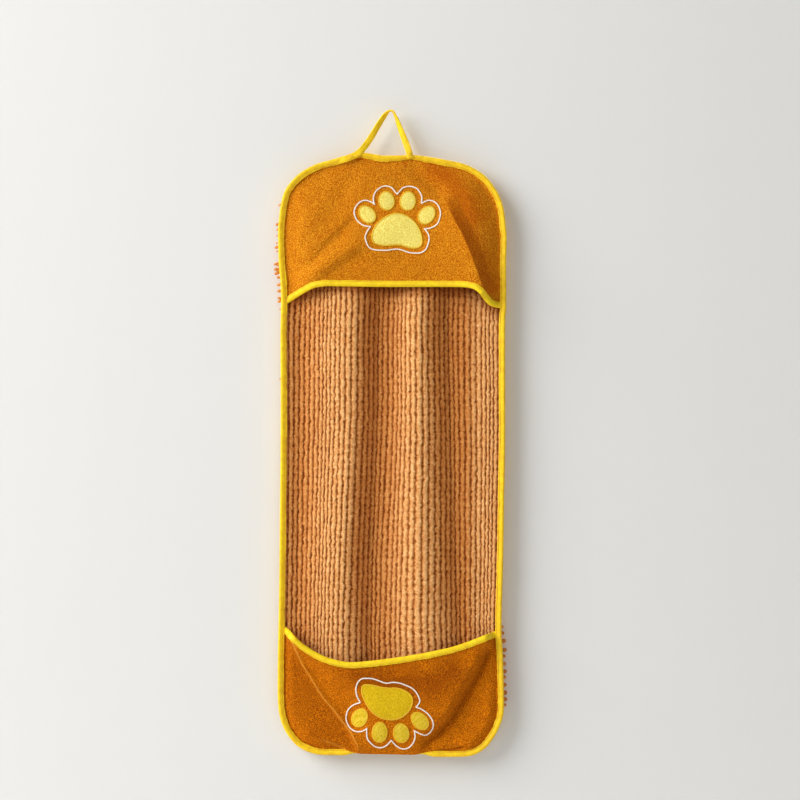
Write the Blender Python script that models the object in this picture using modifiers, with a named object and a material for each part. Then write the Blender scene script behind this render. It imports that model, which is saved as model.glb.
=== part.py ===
"""Pet drying towel with a hand pocket at each end, hanging by its loop.

The towel is a two-ply sheet: a ribbed "corn grid" microfibre panel in front and a chenille backing
behind, with their edges caught in a folded yellow binding tape.  A fleece pocket is sewn over each
end, its mouth bound in the same tape, with an embroidered paw on it.  A tape loop holds it up.

Frame: metres, +Z up, the front faces -Y.  The origin is the point of the loop that rests on the hook.
Lengths below are millimetres, and are turned to metres where vertices are placed.
"""
import math

import bpy
from mathutils import Matrix, Vector

MM = 0.001

# ---------------------------------------------------------------- driving dimensions (millimetres)
BINDING_WIDTH = 9.5       # visible width of the edge tape
BINDING_HALF_DEPTH = 5.3  # from the middle of the towel's edge to the middle of the tape
TAPE = 1.2                # thickness of the edge tape
MOUTH_WIDTH = 9.0         # width of the tape on a pocket's mouth
MOUTH_TAPE = 1.0
TUCK = 4.5                # how far inside the outline the plies' edges lie
PANEL = 1.8               # thickness of the corn-grid ply
PANEL_Y = -1.1            # its middle, at the towel's edge
WAVE = 5.0                # how far the hanging folds stand forward
BACKING_FRONT = 0.4
BACKING_REAR = 12.0       # rear of the chenille pile
BACKING_EDGE = 3.2        # rear of the chenille ply where the tape takes it
POCKET = 1.6              # thickness of the pocket fleece
POCKET_Y = -3.2           # its middle, at the sewn edge
POCKET_BULGE_TOP = 20.0   # how far each mouth stands open
POCKET_BULGE_BOTTOM = 23.0
LOOP_WIDTH = 7.5
LOOP_TAPE = 1.4
FOLD_Z = -529.0           # where the towel folds in half
FOLD_GAP = 0.5
FOLD_AXIS = (0.0, -18.0, FOLD_Z)
SWING_AXIS = (0.0, 0.0, -70.0)

# The hung outline, (x, z), from the middle of the top edge to the left, round the bottom and up the right.
OUTLINE = [
    (-12, -66.5), (-39, -62.5), (-58, -65.5), (-82, -71.5), (-105, -77), (-122, -84), (-138, -94),
    (-151, -107), (-160, -121), (-165, -139), (-168, -160), (-169.5, -182), (-168.5, -225),
    (-165.5, -262), (-165, -291), (-166, -340), (-165.5, -434), (-166, -524), (-168, -720),
    (-169.5, -798), (-170, -848), (-169.5, -888), (-166, -912), (-157, -933), (-144, -949.5),
    (-128, -960), (-108, -965.5), (-78, -966.5), (-12, -968), (52, -969), (101, -969),
    (119, -967.5), (131, -963), (144, -953.5), (155.5, -938), (164, -921), (169, -903),
    (169.5, -871), (168, -817), (166, -771), (168.5, -674), (170, -583), (171.5, -493),
    (171.5, -327), (173, -291), (173, -225), (174, -192), (172.5, -171), (169.5, -147),
    (164, -129), (155, -113), (142, -97.5), (124.5, -85.5), (106, -78), (82, -73), (60, -69),
    (36, -66), (12, -66.3)]
CORNER_TOP = ((-151, -107), (155, -113))        # where each rounded corner turns, left and right
CORNER_BOTTOM = ((-152, -941), (152, -945))

# Middle of the tape along each pocket's mouth, (x, z).
MOUTH_TOP = [(-176, -297), (-159, -286.5), (-142.5, -275.5), (-120, -262.5), (-106, -258), (-60, -259),
             (20, -259.5), (96, -259.5), (122, -262), (134, -269), (142, -279), (150, -287.5),
             (162, -291), (180, -293)]
MOUTH_BOTTOM = [(-176, -768), (-158, -779), (-145.5, -793), (-126, -808.5), (-103.5, -821), (-78, -829),
                (-55, -831), (-12, -827), (36, -820), (85, -810), (117, -800), (158, -784), (180, -775)]

# The hanging folds: x of each forward ridge (1) and each valley (0).
WAVES = [(-190, 0.6), (-147, 0.0), (-76, 1.0), (-26, 0.0), (28, 1.0), (76, 0.0), (126, 1.0), (190, 0.2)]

# The loop tape's middle line, (x, z), foot to foot over the hook.
LOOP = [(-43.0, -61.0), (-35.5, -49.5), (-23.0, -28.5), (-10.5, -8.5), (-4.2, -0.9), (0.0, 0.7),
        (3.6, -1.2), (8.0, -9.5), (16.5, -31.0), (24.0, -50.0), (28.0, -61.0)]

# Each paw: turn in degrees, pad (x, z), toes (x, z, width, height, turn).
PAW_PAD = (76.5, 51.0)
TOP_PAW = {"turn": 0.0, "pad": (9.8, -178.5),
           "toes": [(-35.4, -154.5, 24.0, 26.0, 40.0), (-6.8, -135.0, 22.5, 27.0, 6.0),
                    (25.5, -135.0, 22.5, 27.0, -6.0), (54.0, -154.5, 24.0, 26.0, -40.0)]}
BOTTOM_PAW = {"turn": 172.0, "pad": (-3.5, -887.0),
              "toes": [(-47.4, -909.0, 23.0, 25.0, -44.0), (-16.5, -931.0, 21.5, 26.0, -10.0),
                       (16.0, -933.0, 21.5, 26.0, 4.0), (43.5, -914.0, 23.0, 25.0, 38.0)]}
PAD_THICK = 2.4
PAD_GAP = 1.0             # clear of the pocket, whose facets are coarser than the pad's
OUTLINE_OFFSET = 7.5      # the embroidered line round the paw stands this far outside the pads
OUTLINE_THREAD = 1.6

COLOURS = {
    "binding": (0.88, 0.66, 0.02, 1.0),
    "panel": (0.58, 0.29, 0.11, 1.0),
    "backing": (0.42, 0.17, 0.04, 1.0),
    "pocket": (0.55, 0.20, 0.02, 1.0),
    "pale": (0.84, 0.71, 0.16, 1.0),
    "thread": (0.92, 0.88, 0.82, 1.0),
}

# ---------------------------------------------------------------- scene and materials
for old in list(bpy.data.objects):
    bpy.data.objects.remove(old, do_unlink=True)

PARTS = bpy.data.collections.new("pet_drying_towel")
bpy.context.scene.collection.children.link(PARTS)
GUIDES = bpy.data.collections.new("guides")
bpy.context.scene.collection.children.link(GUIDES)


def empty(name, at, parent=None):
    marker = bpy.data.objects.new(name, None)
    marker.empty_display_size = 0.03
    marker.location = Vector(at) * MM
    GUIDES.objects.link(marker)
    if parent:
        marker.parent = parent
        marker.matrix_parent_inverse = Matrix.Translation(-parent.location)
    return marker


swing = empty("towel_swing_axis", SWING_AXIS)
fold = empty("mid_fold_axis", FOLD_AXIS, swing)
bpy.context.view_layer.update()


def finish(obj, name, colour, parent, roughness=0.9):
    """Names the object, gives it its material and collection, and hangs it from its joint's empty."""
    obj.name = obj.data.name = name
    material = bpy.data.materials.new(name)
    material.use_nodes = True
    shader = material.node_tree.nodes["Principled BSDF"]
    shader.inputs["Base Color"].default_value = COLOURS[colour]
    shader.inputs["Roughness"].default_value = roughness
    shader.inputs["Metallic"].default_value = 0.0
    obj.data.materials.append(material)
    for collection in list(obj.users_collection):
        collection.objects.unlink(obj)
    PARTS.objects.link(obj)
    if parent:
        obj.parent = parent
        obj.matrix_parent_inverse = Matrix.Translation(-parent.matrix_world.translation)
    return obj


# ---------------------------------------------------------------- curves in the towel's plane
def spline(points, steps, closed):
    """A Catmull-Rom curve through the points."""
    count, out = len(points), []
    for i in range(count if closed else count - 1):
        if closed:
            a, b, c, d = (points[(i + k) % count] for k in (-1, 0, 1, 2))
        else:
            a, b, c, d = (points[min(max(i + k, 0), count - 1)] for k in (-1, 0, 1, 2))
        for s in range(steps):
            t = s / steps
            out.append(tuple(
                0.5 * (2 * b[k] + (c[k] - a[k]) * t + (2 * a[k] - 5 * b[k] + 4 * c[k] - d[k]) * t * t
                       + (3 * b[k] - a[k] - 3 * c[k] + d[k]) * t ** 3) for k in (0, 1)))
    if not closed:
        out.append(tuple(points[-1]))
    return out


class Route:
    """A polyline read by distance along it.  A closed one runs on past its end."""

    def __init__(self, points, closed=False):
        self.points = [Vector(p) for p in points]
        if closed:
            self.points.append(self.points[0].copy())
        self.closed = closed
        self.at = [0.0]
        for a, b in zip(self.points, self.points[1:]):
            self.at.append(self.at[-1] + (b - a).length)
        self.length = self.at[-1]

    def point(self, s):
        s = s % self.length if self.closed else min(max(s, 0.0), self.length)
        lo, hi = 0, len(self.at) - 1
        while hi - lo > 1:
            mid = (lo + hi) // 2
            lo, hi = (mid, hi) if self.at[mid] <= s else (lo, mid)
        span = self.at[hi] - self.at[lo]
        return self.points[lo].lerp(self.points[hi], (s - self.at[lo]) / span if span else 0.0)

    def direction(self, s, step=2.0):
        return (self.point(s + step) - self.point(s - step)).normalized()

    def nearest(self, target):
        target = Vector(target)
        best = min(range(len(self.points) - 1), key=lambda i: (self.points[i] - target).length)
        return self.at[best]

    def crossing(self, z, left):
        """Distance along a closed outline to where its left or right side passes the height z."""
        for i, (a, b) in enumerate(zip(self.points, self.points[1:])):
            if (a.x < 0) == left and (a.y - z) * (b.y - z) <= 0 and a.y != b.y and abs(a.x) > 90:
                return self.at[i] + (self.at[i + 1] - self.at[i]) * (a.y - z) / (a.y - b.y)
        raise ValueError("the outline doesn't reach this height")

    def distance(self, x, z):
        target, best = Vector((x, z)), 1e9
        for a, b in zip(self.points, self.points[1:]):
            along = b - a
            t = min(max((target - a).dot(along) / max(along.length_squared, 1e-12), 0.0), 1.0)
            best = min(best, (a + along * t - target).length)
        return best


def inset(points, by):
    """The closed counter-clockwise outline moved inwards."""
    count, out = len(points), []
    for i, (x, z) in enumerate(points):
        ax, az = points[i - 1]
        bx, bz = points[(i + 1) % count]
        tx, tz = bx - ax, bz - az
        size = math.hypot(tx, tz)
        out.append((x - tz / size * by, z + tx / size * by))
    return out


EDGE_POINTS = spline(OUTLINE, 6, True)
EDGE = Route(inset(EDGE_POINTS, TAPE / 2), True)          # the middle of the tape at the outermost edge
RIM = Route(EDGE_POINTS, True)
TUCKED = Route(inset(EDGE_POINTS, TUCK), True)


def height_on(points):
    """z as a smooth function of x, through the points."""
    dense = spline(points, 10, False)

    def height(x):
        if x <= dense[0][0]:
            return dense[0][1]
        for a, b in zip(dense, dense[1:]):
            if a[0] <= x <= b[0]:
                return a[1] + (b[1] - a[1]) * (x - a[0]) / max(b[0] - a[0], 1e-9)
        return dense[-1][1]
    return height


mouth_top = height_on(MOUTH_TOP)
mouth_bottom = height_on(MOUTH_BOTTOM)


def smooth(value):
    value = min(max(value, 0.0), 1.0)
    return value * value * (3 - 2 * value)


def wave(x):
    """0 in a valley and 1 on a ridge, eased between them."""
    for (a, low), (b, high) in zip(WAVES, WAVES[1:]):
        if a <= x <= b:
            return low + (high - low) * smooth((x - a) / (b - a))
    return WAVES[-1][1]


def panel_y(x, z):
    """Middle of the corn-grid ply: flat at the edges and behind the pockets, folded between them."""
    inward = smooth((RIM.distance(x, z) - 11.0) / 30.0)
    between = smooth((-275.0 - z) / 70.0) * smooth((z + 835.0) / 70.0)
    return PANEL_Y - WAVE * wave(x) * inward * between


def pocket_y(x, z, upper):
    """Middle of a pocket's fleece: held at the sewn edges, standing open at the mouth."""
    t = min(max((RIM.distance(x, z) - 11.0) / 60.0, 0.0), 1.0)
    rise = 1.0 - (1.0 - 1.12 * t * t / (t + 0.12)) ** 2
    if upper:
        depth = min(max((z - mouth_top(x) + 4.5) / 190.0, 0.0), 1.0)
        return POCKET_Y - POCKET_BULGE_TOP * rise * (1.0 - 0.55 * smooth(depth))
    depth = min(max((mouth_bottom(x) + 4.5 - z) / 150.0, 0.0), 1.0)
    return POCKET_Y - POCKET_BULGE_BOTTOM * rise * (1.0 - 0.25 * smooth(depth))


# ---------------------------------------------------------------- builders
def grid(columns, rows, place):
    """A flat grid primitive with one vertex for each column and row, each moved to its place."""
    bpy.ops.mesh.primitive_grid_add(x_subdivisions=len(columns) - 1, y_subdivisions=len(rows) - 1, size=1.0)
    obj = bpy.context.object
    across = sorted({round(v.co.x, 5) for v in obj.data.vertices})
    upward = sorted({round(v.co.y, 5) for v in obj.data.vertices})
    assert len(across) == len(columns) and len(upward) == len(rows)
    for v in obj.data.vertices:
        u = columns[min(range(len(across)), key=lambda i: abs(across[i] - v.co.x))]
        w = rows[min(range(len(upward)), key=lambda i: abs(upward[i] - v.co.y))]
        v.co = Vector(place(u, w)) * MM
    obj.data.update()
    return obj


def thicken(obj, thickness, offset=0.0, group=None):
    solid = obj.modifiers.new("Thickness", "SOLIDIFY")
    solid.thickness = thickness * MM
    solid.offset = offset
    if group:
        solid.vertex_group = group
    return solid


def patch(bottom, top, left, right, u, w):
    """A point inside four curves that share their corners."""
    flat = bottom(u) * (1 - w) + top(u) * w + left(w) * (1 - u) + right(w) * u
    return flat - (bottom(0) * (1 - u) * (1 - w) + bottom(1) * u * (1 - w)
                   + top(0) * (1 - u) * w + top(1) * u * w)


def end_patch(upper, low_edge):
    """Maps (u, w) to (x, z) between a curve across the towel and one rounded end.

    low_edge(x) is the curve across: the fold line or a pocket's mouth.  w runs from it to the end."""
    corners = CORNER_TOP if upper else CORNER_BOTTOM
    left_corner, right_corner = (TUCKED.nearest(c) for c in corners)
    ends = []
    for is_left in (True, False):
        z = low_edge(0)
        for _ in range(20):                     # where the curve across meets the side
            s = TUCKED.crossing(z, is_left)
            z = low_edge(TUCKED.point(s).x)
        ends.append(s)
    left_start, right_start = ends
    left_x, right_x = TUCKED.point(left_start).x, TUCKED.point(right_start).x
    around = right_corner - TUCKED.length if upper else right_corner

    def bottom(u):
        x = left_x + (right_x - left_x) * u
        return Vector((x, low_edge(x)))

    def top(u):
        return TUCKED.point(left_corner + (around - left_corner) * u)

    def left(w):
        return TUCKED.point(left_start + (left_corner - left_start) * w)

    def right(w):
        return TUCKED.point(right_start + (right_corner - right_start) * w)
    return lambda u, w: patch(bottom, top, left, right, u, w)


def facing(place, upper):
    """Keeps a grid's face towards the front on the lower half, whose rows run downwards."""
    return place if upper else (lambda u, w: place(1.0 - u, w))


EDGE_COLUMNS = [0.0, 0.016, 0.030, 0.052, 0.082, 0.117, 0.155, 0.197, 0.245, 0.32, 0.41]
PLY_COLUMNS = [0.0, 0.018, 0.055] + [0.055 + 0.89 * i / 19 for i in range(1, 19)] + [0.945, 0.982, 1.0]
BACK_COLUMNS = [0.0, 0.018, 0.038, 0.065, 0.10, 0.3, 0.5, 0.7, 0.90, 0.935, 0.962, 0.982, 1.0]
POCKET_COLUMNS = EDGE_COLUMNS + [0.5] + [1 - c for c in EDGE_COLUMNS[::-1]]


def fold_line(offset):
    return lambda x: FOLD_Z + offset


# ---------------------------------------------------------------- the two plies, in two halves
for half, upper, parent in (("upper", True, swing), ("lower", False, fold)):
    line = end_patch(upper, fold_line(FOLD_GAP / 2 if upper else -FOLD_GAP / 2))

    def ply(u, w, line=line):
        p = line(u, w)
        return (p.x, panel_y(p.x, p.y), p.y)

    rows = [0.0, 0.13, 0.27, 0.40, 0.50, 0.60, 0.72, 0.84, 0.94, 0.985, 1.0]
    panel = grid(PLY_COLUMNS, rows, facing(ply, upper))
    thicken(panel, PANEL)
    finish(panel, "corn_grid_panel_" + half, "panel", parent)

    def back(u, w, line=line):
        p = line(u, w)
        return (p.x, BACKING_FRONT, p.y)

    rows = [0.0, 0.3, 0.6, 0.82, 0.90, 0.935, 0.96, 0.98, 1.0]
    backing = grid(BACK_COLUMNS, rows, facing(back, upper))
    group = backing.vertex_groups.new(name="pile")
    for v in backing.data.vertices:
        reach = smooth((RIM.distance(v.co.x / MM, v.co.z / MM) - 12.0) / 24.0)
        rear = BACKING_EDGE + (BACKING_REAR - BACKING_EDGE) * reach
        group.add([v.index], (rear - BACKING_FRONT) / (BACKING_REAR - BACKING_FRONT), "REPLACE")
    thicken(backing, BACKING_REAR - BACKING_FRONT, -1.0, "pile")
    finish(backing, "chenille_backing_" + half, "backing", parent, 1.0)

# ---------------------------------------------------------------- edge binding, folded over the edge
# Across the tape: how far in from the edge, and how far to the front (-) or back (+).
W, D = BINDING_WIDTH, BINDING_HALF_DEPTH
FOLDED = [(W, -D), (W * 0.5, -D), (W * 0.13, -D * 0.82), (0.0, 0.0),
          (W * 0.13, D * 0.82), (W * 0.5, D), (W, D)]
for half, upper, parent in (("upper", True, swing), ("lower", False, fold)):
    z = FOLD_Z + (FOLD_GAP / 2 if upper else -FOLD_GAP / 2)
    start, end = EDGE.crossing(z, not upper), EDGE.crossing(z, upper)
    if upper:
        end += EDGE.length                       # over the top, from the right side to the left
    steps = [0.0]
    straight = 10                                # long steps down the sides, short round the corners
    for i in range(1, 45):
        t = i / 44
        steps.append(0.5 + 0.5 * math.copysign(abs(2 * t - 1) ** 1.25, 2 * t - 1))

    def tape(u, w, start=start, end=end):
        s = start + (end - start) * u
        p, along = EDGE.point(s), EDGE.direction(s)
        inward, y = FOLDED[round(w * (len(FOLDED) - 1))]
        return (p.x - along.y * inward, y, p.y + along.x * inward)

    def ends_square(u, w, tape=tape, z=z):       # the cut ends lie in the fold's plane
        x, y, zz = tape(u, w)
        return (x, y, z if u in (0.0, 1.0) else zz)

    across = [i / (len(FOLDED) - 1) for i in range(len(FOLDED))]
    binding = grid(steps, across, lambda u, w: ends_square(u, w))
    thicken(binding, TAPE)
    finish(binding, "edge_binding_" + half, "binding", parent, 0.75)

# ---------------------------------------------------------------- pockets and their bound mouths
for end_name, upper, parent in (("top", True, swing), ("bottom", False, fold)):
    mouth = mouth_top if upper else mouth_bottom
    lip = -4.5 if upper else 4.5                 # the fleece's edge, outside the tape's middle line

    def edge(x, mouth=mouth, lip=lip):
        return mouth(x) + lip

    area = end_patch(upper, edge)

    def fleece(u, w, area=area, upper=upper):
        p = area(u, w)
        return (p.x, pocket_y(p.x, p.y, upper), p.y)

    rows = [0.0, 0.05, 0.16, 0.32, 0.50, 0.66, 0.80, 0.89, 0.945, 0.973, 1.0]
    pocket = grid(POCKET_COLUMNS, rows, facing(fleece, upper))
    thicken(pocket, POCKET)
    finish(pocket, end_name + "_pocket", "pocket", parent)

    # The tape runs between the two edge bindings, folded over the fleece's edge.
    z_left = edge(-150.0)
    left_x = TUCKED.point(TUCKED.crossing(z_left, True)).x + 13.5
    right_x = TUCKED.point(TUCKED.crossing(edge(150.0), False)).x - 13.5
    inner = 1.0 if upper else -1.0
    section = [(MOUTH_WIDTH, -2.5), (1.0, -2.6), (-2.5, -1.2), (-2.5, 1.2), (1.0, 2.6), (MOUTH_WIDTH, 2.5)]

    def band(u, w, edge=edge, left_x=left_x, right_x=right_x, inner=inner, section=section, upper=upper):
        x = left_x + (right_x - left_x) * u
        slope = (edge(x + 1.0) - edge(x - 1.0)) / 2.0
        size = math.hypot(1.0, slope)
        into, y = section[round(w * (len(section) - 1))]
        z = edge(x) + into * size * inner         # straight up or down, so that the ends are cut upright
        return (x, pocket_y(x, z, upper) + y, z)

    count = 26
    mouth_steps = [i / count for i in range(count + 1)]
    across = [i / (len(section) - 1) for i in range(len(section))]
    hem = grid(mouth_steps, across, (lambda u, w, b=band: b(1 - u, w)) if upper else band)
    thicken(hem, MOUTH_TAPE)
    finish(hem, end_name + "_pocket_mouth_binding", "binding", parent, 0.75)


# ---------------------------------------------------------------- embroidered paws
def turned(x, z, degrees):
    a = math.radians(degrees)
    return (x * math.cos(a) - z * math.sin(a), x * math.sin(a) + z * math.cos(a))


def to_disc(a, b):
    """A square from -1 to 1 eased to the unit disc."""
    return a * math.sqrt(1 - b * b / 2), b * math.sqrt(1 - a * a / 2)


def pad_shape(p, q):
    """The main pad: a dome over a broad, slightly hollow base."""
    return (p * (1.0 - 0.20 * q), q + 0.16 * p * p * (1.0 if q < 0 else 0.35) - 0.05)


def soft_disc(name, centre, width, height, degrees, upper, parent, cells, shape=None):
    ticks = [-1 + 2 * i / cells for i in range(cells + 1)]

    def place(a, b):
        p, q = to_disc(a, b)
        if shape:
            p, q = shape(p, q)
        dx, dz = turned(p * width / 2, q * height / 2, degrees)
        x, z = centre[0] + dx, centre[1] + dz
        return (x, pocket_y(x, z, upper) - POCKET / 2 - PAD_GAP, z)

    obj = grid(ticks, ticks, place)
    thicken(obj, PAD_THICK, 1.0)
    return finish(obj, name, "pale", parent, 0.85)


def paw_outline(paw, count=40):
    """The outer edge of all the pads, each grown by the offset, seen from the paw's middle."""
    shapes = [(*paw["pad"], PAW_PAD[0] / 2 + OUTLINE_OFFSET, PAW_PAD[1] / 2 + OUTLINE_OFFSET, paw["turn"])]
    shapes += [(x, z, w / 2 + OUTLINE_OFFSET, h / 2 + OUTLINE_OFFSET, t) for x, z, w, h, t in paw["toes"]]
    up = turned(0.0, 14.0, paw["turn"])
    middle = (paw["pad"][0] + up[0], paw["pad"][1] + up[1])
    points = []
    for i in range(count):
        a = 2 * math.pi * i / count
        dx, dz = math.cos(a), math.sin(a)
        reach = 0.0
        for x, z, rx, rz, turn in shapes:        # how far a ray runs before it leaves this ellipse
            ox, oz = turned(middle[0] - x, middle[1] - z, -turn)
            ux, uz = turned(dx, dz, -turn)
            ca = (ux / rx) ** 2 + (uz / rz) ** 2
            cb = 2 * (ox * ux / rx ** 2 + oz * uz / rz ** 2)
            cc = (ox / rx) ** 2 + (oz / rz) ** 2 - 1
            disc = cb * cb - 4 * ca * cc
            if disc >= 0:
                reach = max(reach, (-cb + math.sqrt(disc)) / (2 * ca))
        points.append((middle[0] + dx * reach, middle[1] + dz * reach))
    return points


for end_name, upper, paw, parent in (("top", True, TOP_PAW, swing), ("bottom", False, BOTTOM_PAW, fold)):
    soft_disc(end_name + "_paw_pad", paw["pad"], *PAW_PAD, paw["turn"], upper, parent, 6, pad_shape)
    for number, (x, z, width, height, turn) in enumerate(paw["toes"], 1):
        soft_disc(f"{end_name}_paw_toe_{number}", (x, z), width, height, turn, upper, parent, 4)
    curve = bpy.data.curves.new(end_name + "_paw_outline", "CURVE")
    curve.dimensions = "3D"
    curve.bevel_depth = OUTLINE_THREAD / 2 * MM
    curve.bevel_resolution = 1
    curve.resolution_u = 1
    curve.render_resolution_u = 0
    around = paw_outline(paw)
    line = curve.splines.new("POLY")
    line.points.add(len(around) - 1)
    for point, (x, z) in zip(line.points, around):
        y = pocket_y(x, z, upper) - POCKET / 2 - OUTLINE_THREAD / 2 - 0.7
        point.co = (x * MM, y * MM, z * MM, 1.0)
    line.use_cyclic_u = True
    ring = bpy.data.objects.new(end_name + "_paw_outline", curve)
    bpy.context.scene.collection.objects.link(ring)
    finish(ring, end_name + "_paw_outline", "thread", parent, 0.6)

# ---------------------------------------------------------------- hanging loop and its bar tacks
LOOP_ROUTE = Route(spline(LOOP, 8, False))
APEX = LOOP_ROUTE.nearest((0.0, 0.7))


def loop_tape(u, w):
    """The tape lies flat to the front at its feet and turns edge-on to ride over the hook."""
    s = LOOP_ROUTE.length * u
    p = LOOP_ROUTE.point(s)
    along = LOOP_ROUTE.direction(s, 1.5)
    from_apex = abs(s - APEX) / (APEX if s < APEX else LOOP_ROUTE.length - APEX)
    turn = math.pi / 2 * (1 - smooth((from_apex - 0.12) / 0.6))
    side = (w - 0.5) * LOOP_WIDTH
    return (p.x - along.y * side * math.cos(turn), side * math.sin(turn), p.y + along.x * side * math.cos(turn))


loop = grid([i / 34 for i in range(35)], [0.0, 0.5, 1.0], loop_tape)
thicken(loop, LOOP_TAPE)
finish(loop, "hanging_loop", "binding", None, 0.75)

TACK = (8.5, 1.2, 2.6)                           # width across the leg, depth, height
for side, u in (("left", 0.075), ("right", 0.925)):
    s = LOOP_ROUTE.length * u
    p, along = LOOP_ROUTE.point(s), LOOP_ROUTE.direction(s)
    bpy.ops.mesh.primitive_cube_add(size=1.0)
    tack = bpy.context.object
    for v in tack.data.vertices:
        v.co = Vector((v.co.x * TACK[0], v.co.y * TACK[1], v.co.z * TACK[2])) * MM
    tack.location = Vector((p.x, -LOOP_TAPE / 2 - 0.5 - TACK[1] / 2, p.y)) * MM
    tack.rotation_euler = (0.0, math.pi / 2 - math.atan2(along.y, along.x), 0.0)
    bevel = tack.modifiers.new("Rounded", "BEVEL")
    bevel.width = 0.35 * MM
    bevel.segments = 1
    finish(tack, "loop_tack_" + side, "thread", None, 0.6)

for guide in GUIDES.objects:
    guide.hide_render = True
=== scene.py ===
import math

import bpy
import numpy as np
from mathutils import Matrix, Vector


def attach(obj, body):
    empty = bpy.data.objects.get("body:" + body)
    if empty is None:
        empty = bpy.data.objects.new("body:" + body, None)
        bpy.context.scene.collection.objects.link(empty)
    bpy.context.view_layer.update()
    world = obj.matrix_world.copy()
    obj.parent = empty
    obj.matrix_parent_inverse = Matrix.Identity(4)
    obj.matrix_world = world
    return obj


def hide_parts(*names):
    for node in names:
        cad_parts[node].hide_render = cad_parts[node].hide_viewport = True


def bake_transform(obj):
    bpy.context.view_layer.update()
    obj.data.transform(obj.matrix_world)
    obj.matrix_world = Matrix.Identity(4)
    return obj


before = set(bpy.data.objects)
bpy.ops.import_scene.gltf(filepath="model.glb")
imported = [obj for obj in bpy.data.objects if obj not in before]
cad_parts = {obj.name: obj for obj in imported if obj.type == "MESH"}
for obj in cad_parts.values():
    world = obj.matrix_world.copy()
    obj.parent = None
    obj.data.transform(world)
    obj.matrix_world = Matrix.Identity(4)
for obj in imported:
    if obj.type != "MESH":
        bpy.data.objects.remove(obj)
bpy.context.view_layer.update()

MM = 0.001
RANDOM = np.random.default_rng(11)

# ---------------------------------------------------------------- the CAD model's driving numbers
BINDING_WIDTH = 9.5
BINDING_DEPTH = 5.3
TUCK = 4.5
POCKET_Y = -3.2
SWING_Z = -70.0

OUTLINE = [
    (-12, -66.5), (-39, -62.5), (-58, -65.5), (-82, -71.5), (-105, -77), (-122, -84), (-138, -94),
    (-151, -107), (-160, -121), (-165, -139), (-168, -160), (-169.5, -182), (-168.5, -225),
    (-165.5, -262), (-165, -291), (-166, -340), (-165.5, -434), (-166, -524), (-168, -720),
    (-169.5, -798), (-170, -848), (-169.5, -888), (-166, -912), (-157, -933), (-144, -949.5),
    (-128, -960), (-108, -965.5), (-78, -966.5), (-12, -968), (52, -969), (101, -969),
    (119, -967.5), (131, -963), (144, -953.5), (155.5, -938), (164, -921), (169, -903),
    (169.5, -871), (168, -817), (166, -771), (168.5, -674), (170, -583), (171.5, -493),
    (171.5, -327), (173, -291), (173, -225), (174, -192), (172.5, -171), (169.5, -147),
    (164, -129), (155, -113), (142, -97.5), (124.5, -85.5), (106, -78), (82, -73), (60, -69),
    (36, -66), (12, -66.3)]
CORNER_TOP = ((-151, -107), (155, -113))
CORNER_BOTTOM = ((-152, -941), (152, -945))
MOUTH_TOP = [(-176, -297), (-159, -286.5), (-142.5, -275.5), (-121, -263.2), (-109, -259.6), (-92, -258.2),
             (-60, -258.8), (20, -259.5), (96, -259.5), (122, -262), (134, -269), (142, -279), (150, -287.5),
             (162, -291), (180, -293)]
MOUTH_BOTTOM = [(-176, -768), (-158, -779), (-145.5, -793), (-126, -808.5), (-103.5, -821), (-78, -829),
                (-55, -831), (-12, -827), (36, -820), (85, -810), (117, -800), (158, -784), (180, -775)]

# Shapes drawn on a grid of 1.5 mm, in which the hook point is (391, 111) and the second number runs down.
GRID = 1.5
EYE_X, EYE_Z, EYE_FAR = 13.5, -433.5, 3000.0


def drawn(u, v):
    return (u - 391.0) * GRID, (111.0 - v) * GRID


# ---------------------------------------------------------------- numbers
def smooth(value):
    value = np.clip(value, 0.0, 1.0)
    return value * value * (3 - 2 * value)


def noise(x, z, size, seed=0):
    """Smooth value noise from 0 to 1, in cells of the given size."""
    x, z = np.asarray(x, float) / size, np.asarray(z, float) / size
    i, j = np.floor(x).astype(np.int64), np.floor(z).astype(np.int64)
    fx, fz = smooth(x - i), smooth(z - j)

    def corner(a, b):
        h = (a * 374761393 + b * 668265263 + seed * 1274126177) & 0xFFFFFFFF
        h = ((h ^ (h >> 13)) * 1274126177) & 0xFFFFFFFF
        return ((h ^ (h >> 16)) & 0xFFFF) / 65535.0
    return ((corner(i, j) * (1 - fx) + corner(i + 1, j) * fx) * (1 - fz)
            + (corner(i, j + 1) * (1 - fx) + corner(i + 1, j + 1) * fx) * fz)


def spline(points, steps, closed):
    """A Catmull-Rom curve through the points."""
    p = np.array(points, float)
    count = len(p)
    out = []
    for i in range(count if closed else count - 1):
        pick = [(i + k) % count if closed else min(max(i + k, 0), count - 1) for k in (-1, 0, 1, 2)]
        a, b, c, d = (p[k] for k in pick)
        t = (np.arange(steps) / steps)[:, None]
        out.append(0.5 * (2 * b + (c - a) * t + (2 * a - 5 * b + 4 * c - d) * t * t
                          + (3 * b - a - 3 * c + d) * t ** 3))
    if not closed:
        out.append(p[-1:])
    return np.vstack(out)


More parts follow.
